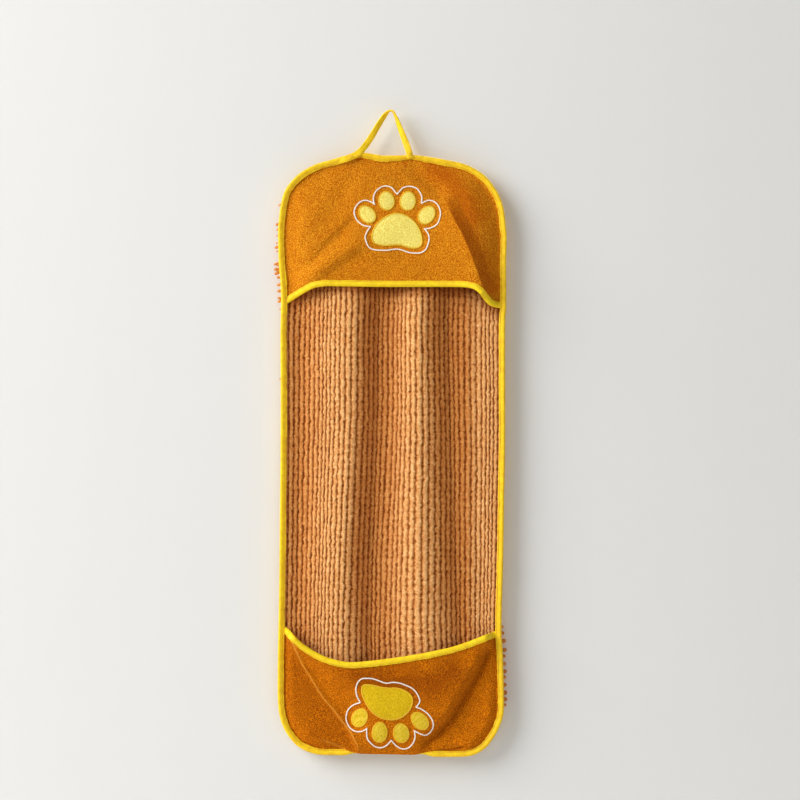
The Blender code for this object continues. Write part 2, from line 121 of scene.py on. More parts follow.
class Route:
    """A polyline read by distance along it.  A closed one runs on past its end."""

    def __init__(self, points, closed=False):
        p = np.array(points, float)
        self.p = np.vstack([p, p[:1]]) if closed else p
        self.closed = closed
        self.s = np.concatenate([[0.0], np.cumsum(np.hypot(*np.diff(self.p, axis=0).T))])
        self.length = self.s[-1]

    def point(self, s):
        s = np.mod(s, self.length) if self.closed else np.clip(s, 0.0, self.length)
        return np.stack([np.interp(s, self.s, self.p[:, k]) for k in (0, 1)], -1)

    def direction(self, s, step=2.0):
        d = self.point(np.asarray(s) + step) - self.point(np.asarray(s) - step)
        return d / np.maximum(np.linalg.norm(d, axis=-1, keepdims=True), 1e-9)

    def nearest(self, target):
        return self.s[np.argmin(np.hypot(*(self.p[:-1] - np.array(target)).T))]

    def crossing(self, z, left):
        for i in range(len(self.p) - 1):
            (ax, az), (bx, bz) = self.p[i], self.p[i + 1]
            if (ax < 0) == left and (az - z) * (bz - z) <= 0 and az != bz and abs(ax) > 90:
                return self.s[i] + (self.s[i + 1] - self.s[i]) * (az - z) / (az - bz)
        raise ValueError("the outline doesn't reach this height")


def inset(points, by):
    """The closed counter-clockwise outline moved inwards."""
    t = np.roll(points, -1, 0) - np.roll(points, 1, 0)
    t /= np.linalg.norm(t, axis=1, keepdims=True)
    return points + np.stack([-t[:, 1], t[:, 0]], 1) * by


EDGE_POINTS = spline(OUTLINE, 8, True)
RIM = Route(EDGE_POINTS, True)
TUCKED = Route(inset(EDGE_POINTS, TUCK), True)


class Inside:
    """How far a point lies inside the outline, read from a lattice."""

    def __init__(self, polygon, step=2.0):
        self.step, self.x0, self.z0 = step, -190.0, -992.0
        gx, gz = np.meshgrid(np.arange(self.x0, 192, step), np.arange(self.z0, -44, step))
        best, within = np.full(gx.shape, 1e9), np.zeros(gx.shape, bool)
        for (ax, az), (bx, bz) in zip(polygon, np.roll(polygon, -1, 0)):
            dx, dz = bx - ax, bz - az
            t = np.clip(((gx - ax) * dx + (gz - az) * dz) / max(dx * dx + dz * dz, 1e-12), 0, 1)
            best = np.minimum(best, np.hypot(gx - ax - dx * t, gz - az - dz * t))
            if az != bz:
                within ^= ((az > gz) != (bz > gz)) & (gx < (bx - ax) * (gz - az) / (bz - az) + ax)
        self.values = np.where(within, best, -best)

    def __call__(self, x, z):
        rows, columns = self.values.shape
        u = np.clip((np.asarray(x, float) - self.x0) / self.step, 0, columns - 1.001)
        v = np.clip((np.asarray(z, float) - self.z0) / self.step, 0, rows - 1.001)
        i, j = u.astype(int), v.astype(int)
        u, v = u - i, v - j
        t = self.values
        return ((t[j, i] * (1 - u) + t[j, i + 1] * u) * (1 - v)
                + (t[j + 1, i] * (1 - u) + t[j + 1, i + 1] * u) * v)


inside = Inside(spline(OUTLINE, 4, True))


def height_on(points):
    dense = spline(points, 12, False)
    return lambda x: np.interp(x, dense[:, 0], dense[:, 1])


mouth_top, mouth_bottom = height_on(MOUTH_TOP), height_on(MOUTH_BOTTOM)

# ---------------------------------------------------------------- how the towel hangs
# At four heights, where each valley (0) and ridge (1) of the hanging folds stands, on the drawing grid.
FOLD_ROWS = [
    (300, [281, 289, 299, 352, 377, 388, 419, 446, 472, 490, 498, 505]),
    (400, [281, 288, 297, 351, 376, 388, 420, 449, 473, 491, 498, 505]),
    (560, [281, 287, 296, 343, 369, 378, 421, 455, 476, 491, 498, 505]),
    (640, [281, 287, 296, 341, 369, 377, 424, 460, 478, 492, 498, 505])]
FOLD_SHAPE = [0.27, 0.20, 0.08, 1.0, 0.0, 0.08, 1.0, 0.0, 0.04, 0.20, 0.26, 0.30]
FOLD_RIDGE, FOLD_VALLEY = 19.0, 5.5


def fold_places(z):
    """x of each valley and ridge at the heights z."""
    heights = np.array([drawn(0, v)[1] for v, _ in FOLD_ROWS])[::-1]
    rows = np.array([[drawn(u, 0)[0] for u in row] for _, row in FOLD_ROWS])[::-1]
    return [np.interp(z, heights, rows[:, k]) for k in range(rows.shape[1])]


def wave(x, z):
    x, z = np.broadcast_arrays(np.asarray(x, float), np.asarray(z, float))
    places = fold_places(z)
    value = np.full(x.shape, FOLD_SHAPE[0])
    for k in range(len(places) - 1):
        a, b = places[k], places[k + 1]
        t = (x - a) / np.maximum(b - a, 1e-6)
        t = np.clip(t, 0, 1)
        ease = t ** 1.75 if FOLD_SHAPE[k] - FOLD_SHAPE[k + 1] > 0.5 else smooth(t)
        eased = FOLD_SHAPE[k] + (FOLD_SHAPE[k + 1] - FOLD_SHAPE[k]) * ease
        value = np.where(x >= a, eased, value)
    return value


def lift(x, z):
    """The bottom edge rolls up a little behind the sagging pocket."""
    return 4.2 * smooth((x + 74) / 26) * smooth((68 - x) / 24) * smooth((-925 - z) / 30)


def drift(x, z):
    """How far the folds have moved sideways from where they stand half way up the towel."""
    x, z = np.broadcast_arrays(np.asarray(x, float), np.asarray(z, float))
    now, then = fold_places(z), fold_places(np.full(z.shape, drawn(0, 400)[1]))
    move = np.zeros(x.shape)
    for k in range(len(now) - 1):
        t = np.clip((x - then[k]) / np.maximum(then[k + 1] - then[k], 1e-6), 0, 1)
        here = (x >= then[k]) & (x < then[k + 1])
        move = np.where(here, (now[k] - then[k]) * (1 - t) + (now[k + 1] - then[k + 1]) * t, move)
    return move


def crease(x, z, line, height, left, right, start=0.15, end=0.15, power=1.6):
    """A fold along a line drawn downwards, standing forward by height and falling away to either side."""
    p = np.array([drawn(*q) for q in line])
    best, side, along, run = np.full(x.shape, 1e9), np.zeros(x.shape), np.zeros(x.shape), 0.0
    for (ax, az), (bx, bz) in zip(p, p[1:]):
        dx, dz = bx - ax, bz - az
        size = math.hypot(dx, dz)
        t = np.clip(((x - ax) * dx + (z - az) * dz) / size ** 2, 0, 1)
        px, pz = x - ax - dx * t, z - az - dz * t
        away = np.hypot(px, pz)
        near = away < best
        best = np.where(near, away, best)
        side = np.where(near, dx * pz - dz * px, side)
        along = np.where(near, run + t * size, along)
        run += size
    u = np.clip(1 - best / np.where(side > 0, right, left), 0, 1)
    shape = u ** power if power else smooth(u)
    share = along / run
    return height * shape * smooth(share / max(start, 1e-6)) * smooth((1 - share) / max(end, 1e-6))


def sag(x, rim):
    """How far the bottom pocket's front hangs down over its seam."""
    across = smooth((x + 78) / 34) * smooth((68 - x) / 36)
    return 8.0 * across * smooth((rim - TUCK) / 5.5) * (1 - smooth((rim - 10) / 34))


LEFT_CREASE = [(288, 636), (291.2, 640), (294.9, 648.7), (301.8, 663.5), (312, 680), (323, 697.8), (334.3, 710.7),
               (345.4, 725.6), (353.7, 736.7), (362, 749)]
RIGHT_VALLEY = [(492, 643), (484, 665), (474.3, 683), (463.6, 701), (453, 719), (438.6, 735), (423.4, 745.5),
                (414.5, 752.7)]
TOP_CREST = [(441, 186), (447, 203), (454, 219), (462, 233), (469.5, 250), (476, 267), (480.5, 279), (487, 296)]


def pocket_y(x, z, upper):
    """The front of a pocket's fleece: held at the sewn edges, standing open at the mouth, with its creases."""
    x, z = np.broadcast_arrays(np.asarray(x, float), np.asarray(z, float))
    rim = inside(x, z)
    if upper:
        climb = 60.0 - 22.0 * smooth((x - 60) / 60)
    else:
        climb = 60.0 - 46.0 * smooth((-60 - x) / 50) - 45.0 * smooth((x - 60) / 60)
    t = np.clip((rim - 11.0) / climb, 0, 1)
    rise = 1.0 - (1.0 - 1.12 * t * t / (t + 0.12)) ** 2
    held = smooth((rim - 8.0) / 14.0)
    if upper:
        depth = np.clip((z - mouth_top(x) + 4.5) / 190.0, 0, 1)
        y = -20.0 * rise * (1.0 - 0.55 * smooth(depth))
        y -= held * crease(x, z, TOP_CREST, 12.5, 64, 18, 0.42, 0.05, 1.3)
        y -= held * crease(x, z, [(376, 236), (352, 248), (322, 268), (294, 291)], 5.0, 22, 16, 0.3, 0.15, 0)
        y += held * crease(x, z, [(372, 212), (352, 222), (326, 246), (302, 278)], 1.6, 10, 14, 0.3, 0.2, 0)
        y += held * crease(x, z, [(401, 158), (413, 170), (432, 186), (452, 202)], 3.2, 16, 20, 0.3, 0.3, 0)
        y += held * crease(x, z, [(366, 158), (350, 180), (330, 214), (308, 246)], 1.8, 22, 22, 0.3, 0.3, 0)
        y += held * crease(x, z, [(356, 224), (340, 236), (318, 254), (300, 272)], 1.5, 15, 15, 0.3, 0.3, 0)
        y -= held * crease(x, z, [(300, 180), (303, 220), (300, 262)], 2.0, 16, 28, 0.3, 0.3, 0)
    else:
        depth = np.clip((mouth_bottom(x) + 4.5 - z) / 150.0, 0, 1)
        y = -21.0 * rise * (1.0 - 0.25 * smooth(depth))
        low = rise * smooth((mouth_bottom(x) - z) / 26)
        y += low * crease(x, z, LEFT_CREASE, 14.0, 170, 52, 0.02, 0.24, 0)
        y -= held * crease(x, z, LEFT_CREASE, 3.2, 3.4, 9, 0.03, 0.14, 1.0)
        y += low * crease(x, z, RIGHT_VALLEY, 16.0, 17, 105, 0.06, 0.16, 0)
        y += low * crease(x, z, RIGHT_VALLEY, 2.4, 7, 11, 0.06, 0.2, 0)
        y -= held * crease(x, z, [(300, 733), (311, 736), (325, 741), (345.4, 748.7), (359, 753.3)], 3.6, 10, 20,
                           0.15, 0.05, 1.2)
        y += held * crease(x, z, [(343, 729), (350, 738), (357, 750)], 3.4, 12, 5, 0.3, 0.1, 0)
        y += held * crease(x, z, [(338, 672), (352, 700), (346, 722)], 1.6, 18, 18, 0.3, 0.3, 0)
        y -= 3.4 * smooth((x - 58) / 14) * smooth((134 - x) / 16) * smooth((rim - 7.5) / 3) * (1 - smooth((rim - 14) / 26))
        across = smooth((x + 82) / 34) * smooth((80 - x) / 44)
        y -= 6.5 * across * smooth((rim - TUCK) / 4.5) * (1 - smooth((rim - 15) / 44))
    y -= held * 2.2 * (noise(x + 900, z + 2000, 46, 3) - 0.5) + held * 0.9 * (noise(x, z, 17, 5) - 0.5)
    return POCKET_Y + y


def pocket_seen(x, z, upper):
    """The same, at a place given as it hangs, after the bottom pocket has sagged."""
    if upper:
        return pocket_y(x, z, True)
    before = np.array(z, float)
    for _ in range(6):
        before = np.asarray(z, float) + sag(x, inside(x, before))
    return pocket_y(x, before, False)


def panel_y(x, z):
    """Middle of the corn-grid ply: flat at the edges, in hanging folds between, kept behind the pockets."""
    x, z = np.broadcast_arrays(np.asarray(x, float), np.asarray(z, float))
    rim = inside(x, z)
    inward = smooth((rim - 7.0) / 24.0)
    between = smooth((-90.0 - z) / 230.0) * (0.25 + 0.75 * smooth((z + 960.0) / 290.0))
    y = FOLD_VALLEY - (FOLD_RIDGE + FOLD_VALLEY) * wave(x, z)
    y = y + 2.4 * (noise(x + 500, z * 0.35 + 900, 34, 8) - 0.5)
    y = -1.1 + y * inward * between
    for mouth, sign, upper in ((mouth_top, 1, True), (mouth_bottom, -1, False)):
        beyond = (z - mouth(x)) * sign                       # above 0 behind the pocket
        near = smooth((beyond + 34.0) / 34.0)
        near = np.where(np.abs(beyond) > 300, 0.0, near)
        limit = pocket_y(x, z, upper) + 4.6
        y = np.where(near > 0, y + np.maximum(limit - y, 0.0) * near, y)
    return y


# ---------------------------------------------------------------- mesh building
def build(name, points, quads, tris=None, smooth_shading=True, **values):
    """A mesh object from points in millimetres and arrays of faces, with a number at each point."""
    mesh = bpy.data.meshes.new(name)
    points = np.array(points, float).reshape(-1, 3)
    draw_in = 1 + points[:, 1] / EYE_FAR                     # what stands forward would look larger from the front
    points[:, 0] = EYE_X + (points[:, 0] - EYE_X) * draw_in
    points[:, 2] = EYE_Z + (points[:, 2] - EYE_Z) * draw_in
    quads = np.asarray(quads, np.int32).reshape(-1, 4)
    tris = np.zeros((0, 3), np.int32) if tris is None else np.asarray(tris, np.int32).reshape(-1, 3)
    loops = np.concatenate([quads.ravel(), tris.ravel()]).astype(np.int32)
    starts = np.concatenate([np.arange(len(quads)) * 4, len(quads) * 4 + np.arange(len(tris)) * 3])
    mesh.vertices.add(len(points))
    mesh.vertices.foreach_set("co", (points * MM).astype(np.float32).ravel())
    mesh.loops.add(len(loops))
    mesh.loops.foreach_set("vertex_index", loops)
    mesh.polygons.add(len(starts))
    mesh.polygons.foreach_set("loop_start", starts.astype(np.int32))
    mesh.update(calc_edges=True)
    mesh.polygons.foreach_set("use_smooth", np.full(len(starts), smooth_shading))
    for key, value in values.items():
        layer = mesh.attributes.new(key, "FLOAT", "POINT")
        layer.data.foreach_set("value", np.asarray(value, np.float32).ravel())
    mesh.validate()
    obj = bpy.data.objects.new(name, mesh)
    bpy.context.scene.collection.objects.link(obj)
    return obj


def lattice(rows, columns, close_rows=False, close_columns=False, base=0):
    """Quads of a grid of points stored row by row, facing the front where rows rise and columns run right."""
    r = np.arange(rows if close_rows else rows - 1)
    c = np.arange(columns if close_columns else columns - 1)
    r, c = (g.ravel() for g in np.meshgrid(r, c, indexing="ij"))
    r2, c2 = (r + 1) % rows, (c + 1) % columns
    return np.stack([r * columns + c, r * columns + c2, r2 * columns + c2, r2 * columns + c], 1) + base


class Pile:
    """Many small copies gathered into one mesh."""

    def __init__(self):
        self.points, self.quads, self.tris, self.values, self.count = [], [], [], [], 0

    def add(self, points, quads, tris=None, value=0.0):
        points = np.asarray(points, float).reshape(-1, 3)
        self.points.append(points)
        self.quads.append(np.asarray(quads).reshape(-1, 4) + self.count)
        if tris is not None:
            self.tris.append(np.asarray(tris).reshape(-1, 3) + self.count)
        self.values.append(np.broadcast_to(value, len(points)))
        self.count += len(points)

    def made(self, name, key="tint"):
        return build(name, np.vstack(self.points), np.vstack(self.quads),
                     np.vstack(self.tris) if self.tris else None, **{key: np.concatenate(self.values)})


def tube(pile, path, radii, sides=6, value=0.0, flat=1.0, up=(0.0, 1.0, 0.0)):
    """Adds a closed tube along the path to the pile.  flat squeezes it along `up`."""
    path = np.asarray(path, float)
    along = np.gradient(path, axis=0)
    along /= np.maximum(np.linalg.norm(along, axis=1, keepdims=True), 1e-9)
    side = np.cross(along, np.array(up))
    side /= np.maximum(np.linalg.norm(side, axis=1, keepdims=True), 1e-9)
    rise = np.cross(side, along)
    a = 2 * np.pi * np.arange(sides) / sides
    radii = np.broadcast_to(np.asarray(radii, float), len(path))
    ring = (side[:, None, :] * np.cos(a)[None, :, None] + rise[:, None, :] * flat * np.sin(a)[None, :, None])
    points = path[:, None, :] + ring * radii[:, None, None]
    count = len(path)
    points = np.vstack([points.reshape(-1, 3), path[:1], path[-1:]])
    quads = lattice(count, sides, close_columns=True)
    k = np.arange(sides)
    first, last = count * sides, count * sides + 1
    tris = np.vstack([np.stack([(k + 1) % sides, k, np.full(sides, first)], 1),
                      np.stack([(count - 1) * sides + k, (count - 1) * sides + (k + 1) % sides,
                                np.full(sides, last)], 1)])
    pile.add(points, quads, tris, value)


# ---------------------------------------------------------------- materials
def srgb(r, g, b):
    return tuple((c / 255 / 12.92 if c / 255 <= 0.04045 else ((c / 255 + 0.055) / 1.055) ** 2.4)
                 for c in (r, g, b)) + (1.0,)


class Cloth:
    """A node material built up step by step from the object's own coordinates."""

    def __init__(self, name, roughness=0.9, sheen=0.0, sheen_roughness=0.45, sheen_tint=(1, 1, 1, 1), specular=0.2):
        self.material = bpy.data.materials.new(name)
        self.material.use_nodes = True
        self.tree = self.material.node_tree
        self.shader = self.tree.nodes["Principled BSDF"]
        self.shader.inputs["Roughness"].default_value = roughness
        self.shader.inputs["Specular IOR Level"].default_value = specular
        self.shader.inputs["Sheen Weight"].default_value = sheen
        self.shader.inputs["Sheen Roughness"].default_value = sheen_roughness
        self.shader.inputs["Sheen Tint"].default_value = sheen_tint
        self.place = self.tree.nodes.new("ShaderNodeTexCoord").outputs["Object"]
        self.colour = None
        self.normal = None

    def link(self, a, b):
        self.tree.links.new(a, b)

    def stretched(self, scale):
        node = self.tree.nodes.new("ShaderNodeMapping")
        node.inputs["Scale"].default_value = scale
        self.link(self.place, node.inputs["Vector"])
        return node.outputs["Vector"]

    def noise(self, scale, detail=3.0, roughness=0.6, vector=None, low=0.3, high=0.7):
        node = self.tree.nodes.new("ShaderNodeTexNoise")
        node.inputs["Scale"].default_value = scale
        node.inputs["Detail"].default_value = detail
        node.inputs["Roughness"].default_value = roughness
        self.link(vector or self.place, node.inputs["Vector"])
        return self.ranged(node.outputs["Fac"], low, high)

    def cells(self, scale, vector=None, low=0.0, high=0.7):
        node = self.tree.nodes.new("ShaderNodeTexVoronoi")
        node.inputs["Scale"].default_value = scale
        self.link(vector or self.place, node.inputs["Vector"])
        return self.ranged(node.outputs["Distance"], low, high)

    def ranged(self, value, low, high, a=0.0, b=1.0):
        node = self.tree.nodes.new("ShaderNodeMapRange")
        node.inputs["From Min"].default_value = low
        node.inputs["From Max"].default_value = high
        node.inputs["To Min"].default_value = a
        node.inputs["To Max"].default_value = b
        self.link(value, node.inputs["Value"])
        return node.outputs["Result"]

    def attribute(self, name):
        node = self.tree.nodes.new("ShaderNodeAttribute")
        node.attribute_name = name
        return node.outputs["Fac"]

    def ramp(self, value, stops):
        node = self.tree.nodes.new("ShaderNodeValToRGB")
        elements = node.color_ramp.elements
        while len(elements) < len(stops):
            elements.new(0.5)
        for element, (at, colour) in zip(elements, stops):
            element.position, element.color = at, colour
        self.link(value, node.inputs["Fac"])
        return node.outputs["Color"]

    def mixed(self, a, b, factor, kind="MIX", amount=None):
        node = self.tree.nodes.new("ShaderNodeMix")
        node.data_type = "RGBA"
        node.blend_type = kind
        for value, socket in ((a, node.inputs[6]), (b, node.inputs[7])):
            if isinstance(value, tuple):
                socket.default_value = value
            else:
                self.link(value, socket)
        if amount is not None:
            node.inputs[0].default_value = amount
        else:
            self.link(factor, node.inputs[0])
        return node.outputs[2]

    def product(self, a, b, kind="MULTIPLY"):
        node = self.tree.nodes.new("ShaderNodeMath")
        node.operation = kind
        for value, socket in ((a, node.inputs[0]), (b, node.inputs[1])):
            if isinstance(value, (int, float)):
                socket.default_value = value
            else:
                self.link(value, socket)
        return node.outputs[0]

    def bump(self, value, strength, distance):
        node = self.tree.nodes.new("ShaderNodeBump")
        node.inputs["Strength"].default_value = strength
        node.inputs["Distance"].default_value = distance
        self.link(value, node.inputs["Height"])
        if self.normal is not None:
            self.link(self.normal, node.inputs["Normal"])
        self.normal = node.outputs["Normal"]

    def done(self, colour):
        self.link(colour, self.shader.inputs["Base Color"])
        if self.normal is not None:
            self.link(self.normal, self.shader.inputs["Normal"])
        return self.material


def make_corn_grid():
    c = Cloth("corn_grid_microfibre", 0.95, 0.10, 0.5, srgb(255, 200, 140))
    # rib tops paler and grooves darker: partly the corn-grid's own darker ground weave, partly painted groove shade
    nap = c.attribute("nap")
    grain = c.noise(760, 2, 0.7, low=0.38, high=0.62)
    height = c.product(c.product(nap, 0.68), c.product(grain, 0.41), "ADD")
    colour = c.ramp(height, [(0.0, srgb(92, 34, 2)), (0.24, srgb(142, 72, 20)), (0.50, srgb(206, 132, 66)),
                             (0.78, srgb(238, 170, 102)), (1.0, srgb(255, 212, 148))])
    # painted shade: the fold valleys and the flanks facing away from the lamp are darkened here
    deep = c.mixed((1.0, 1.0, 1.0, 1.0), (0.84, 0.63, 0.40, 1.0), c.ranged(c.attribute("hollow"), 0.3, 1.0))
    colour = c.mixed(colour, deep, None, "MULTIPLY", 1.0)
    colour = c.mixed(colour, srgb(186, 108, 46), c.product(c.noise(26, 2, 0.5), 0.14))
    # painted shadow of the top pocket's mouth on the panel just below it
    under = c.mixed((1.0, 1.0, 1.0, 1.0), (0.62, 0.44, 0.30, 1.0), c.attribute("tucked"))
    colour = c.mixed(colour, under, None, "MULTIPLY", 1.0)
    c.bump(c.noise(950, 2, 0.6), 0.6, 0.0012)
    return c.done(colour)


def make_fleece(name, dark, light, warm, worn, shade):
    c = Cloth(name, 0.95, 0.09, 0.5, srgb(255, 176, 60), 0.08)
    grain = c.noise(800, 1, 0.6, low=0.41, high=0.59)
    fine = c.noise(1300, 1, 0.6, low=0.36, high=0.64)
    colour = c.mixed(dark, light, grain)
    colour = c.mixed(colour, dark, c.product(fine, 0.32))
    colour = c.mixed(colour, warm, c.product(c.noise(22, 2, 0.5), 0.22))
    # painted shade: the fleece is darkened along its creases and valleys by the shade colour
    deep = c.mixed((1.0, 1.0, 1.0, 1.0), shade, c.attribute("hollow"))
    colour = c.mixed(colour, deep, None, "MULTIPLY", 1.0)
    # painted highlight along the fleece's crease lines
    colour = c.mixed(colour, worn, c.attribute("crest"))
    c.bump(grain, 0.6, 0.0014)
    c.bump(fine, 0.4, 0.0006)
    return c.done(colour)


def make_tape(name, dark, light):
    c = Cloth(name, 0.62, 0.10, 0.4, srgb(255, 240, 170), 0.35)
    weave = c.noise(1500, 2, 0.6)
    colour = c.mixed(dark, light, c.noise(120, 3, 0.55))
    colour = c.mixed(colour, dark, c.product(weave, 0.25))
    c.bump(weave, 0.35, 0.0004)
    c.bump(c.noise(170, 2, 0.5), 0.25, 0.0012)
    return c.done(colour)


def make_chenille():
    c = Cloth("chenille_pile", 0.95, 0.35, 0.5, srgb(255, 190, 130))
    colour = c.mixed(srgb(192, 108, 48), srgb(244, 170, 98), c.attribute("tint"))
    colour = c.mixed(colour, srgb(150, 78, 28), c.product(c.noise(900, 3, 0.65), 0.40))
    c.bump(c.noise(1000, 3, 0.65), 0.7, 0.0012)
    return c.done(colour)


def make_ground():
    c = Cloth("knitted_ground", 0.95, 0.1)
    colour = c.mixed(srgb(124, 62, 22), srgb(164, 92, 38), c.noise(600, 3, 0.6))
    c.bump(c.noise(900, 2, 0.6), 0.5, 0.0008)
    return c.done(colour)


def make_pad(name, dark, light, satin=None):
    c = Cloth(name, 0.85, 0.14, 0.45, srgb(255, 246, 190))
    grain = c.noise(700, 1, 0.6, low=0.34, high=0.66)
    colour = c.mixed(dark, light, grain)
    if satin:                                                # painted highlights: long slanting threads shown paler, as if catching the light
        turned = c.tree.nodes.new("ShaderNodeMapping")
        turned.vector_type = "TEXTURE"
        turned.inputs["Rotation"].default_value = (0.0, math.radians(48), 0.0)
        turned.inputs["Scale"].default_value = (0.0014, 0.005, 0.010)
        c.link(c.place, turned.inputs["Vector"])
        colour = c.mixed(colour, satin, c.product(c.noise(1.0, 2, 0.6, turned.outputs["Vector"], 0.42, 0.70), 0.62))
    c.bump(grain, 0.6, 0.0012)
    return c.done(colour)


def make_thread(name, dark, light, roughness=0.45):
    c = Cloth(name, roughness, 0.05, 0.4, (1, 1, 1, 1), 0.45)
    colour = c.mixed(dark, light, c.noise(1400, 2, 0.6))
    c.bump(c.noise(1800, 2, 0.6), 0.4, 0.0003)
    return c.done(colour)


CORN_GRID = make_corn_grid()
# for each fleece the fourth colour is a painted highlight for its crease lines and the last a painted shade tint
FLEECE_TOP = make_fleece("pocket_fleece_top", srgb(184, 86, 0), srgb(250, 174, 36), srgb(224, 122, 8),
                         srgb(255, 196, 60), (0.85, 0.64, 0.44, 1.0))
# the same fleece as the top pocket in darker colours: painted shade of the lower, down-facing pocket
FLEECE_BOTTOM = make_fleece("pocket_fleece_bottom", srgb(154, 70, 0), srgb(250, 148, 12), srgb(204, 104, 0),
                            srgb(250, 174, 62), (0.68, 0.58, 0.44, 1.0))
TAPE_EDGE = make_tape("edge_tape", srgb(232, 182, 0), srgb(252, 214, 14))
TAPE_MOUTH = make_tape("mouth_tape", srgb(236, 194, 0), srgb(252, 224, 12))
TAPE_LOOP = make_tape("loop_tape", srgb(240, 192, 0), srgb(255, 222, 18))
CHENILLE = make_chenille()
GROUND = make_ground()
# both paws are one appliqué cloth; the top paw's paler colours are partly painted sheen of its nap
PAD_TOP = make_pad("applique_pale", srgb(232, 200, 70), srgb(255, 244, 140))
PAD_BOTTOM = make_pad("applique_deep", srgb(202, 160, 0), srgb(238, 202, 14))
# the third colour is a painted highlight on the slanting satin threads of the bottom toes
TOE_BOTTOM = make_pad("applique_deep_satin", srgb(204, 164, 2), srgb(232, 196, 18), srgb(250, 226, 96))
SATIN = make_thread("satin_thread", srgb(214, 160, 2), srgb(244, 198, 16), 0.5)
WHITE_THREAD = make_thread("white_thread", srgb(255, 248, 234), srgb(255, 253, 246), 0.6)
TACK_THREAD = make_thread("tack_thread", srgb(232, 184, 4), srgb(252, 212, 20), 0.5)
# darker than the tapes it sews, partly as painted shade along the stitch lines
YELLOW_THREAD = make_thread("yellow_thread", srgb(196, 136, 0), srgb(228, 172, 6), 0.5)


# ---------------------------------------------------------------- putting pieces on their bodies
def ride(obj, material, slot, *, body=None, blend=None):
    """Finishes a piece: its material, and the body that it moves with; a blended piece only has its placement baked in,
    and the slot is not used.
    """
    obj.data.materials.append(material)
    if blend == "fold":
        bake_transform(obj)
    elif blend == "foot":
        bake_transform(obj)
    else:
        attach(obj, body)
    return obj


# ---------------------------------------------------------------- corn-grid panel
PITCHES = [(281, 5.2), (300, 5.2), (310, 5.0), (318, 4.5), (323, 3.5), (330, 3.9), (337, 5.0), (345, 5.6),
           (352, 6.2), (357, 6.6), (361, 6.3), (366, 4.7), (371, 4.7), (376, 4.5), (380, 4.6), (385, 5.6),
           (390, 5.4), (396, 4.3), (401, 3.5), (407, 4.8), (413, 5.4), (418, 6.7), (424, 5.8), (430, 6.4),
           (437, 5.2), (445, 4.6), (450, 4.3), (455, 5.0), (460, 5.4), (465, 6.0), (470, 5.7), (480, 5.4),
           (487, 3.8), (491, 3.5), (495, 4.2), (505, 4.4)]
KERNEL = 11.16                     # height of one kernel
RELIEF = 2.3
PER_COLUMN = 8


def column_edges():
    """Where the ribs meet, from 0 to 1 across the panel: close together on the folds' flanks."""
    u = np.linspace(283.3, 502.3, 2000)
    pitch = np.interp(u, *np.array(PITCHES).T)
    passed = np.concatenate([[0], np.cumsum(np.diff(u) / ((pitch[1:] + pitch[:-1]) / 2))])
    count = round(passed[-1])
    return np.interp(np.arange(count + 1), passed * count / passed[-1], (u - u[0]) / (u[-1] - u[0]))


COLUMN_EDGES = column_edges()


def side_x(z, left):
    """x of the outline set in by TUCK at each height."""
    heights = np.linspace(-968, -66, 903)
    p, q = TUCKED.p[:-1], TUCKED.p[1:]
    out = []
    for h in heights:
        hit = (p[:, 1] - h) * (q[:, 1] - h) <= 0
        hit &= p[:, 1] != q[:, 1]
        if not hit.any():
            out.append(0.0)
            continue
        a, b = p[hit], q[hit]
        xs = a[:, 0] + (b[:, 0] - a[:, 0]) * (a[:, 1] - h) / (a[:, 1] - b[:, 1])
        out.append(xs.min() if left else xs.max())
    return np.interp(z, heights, out)


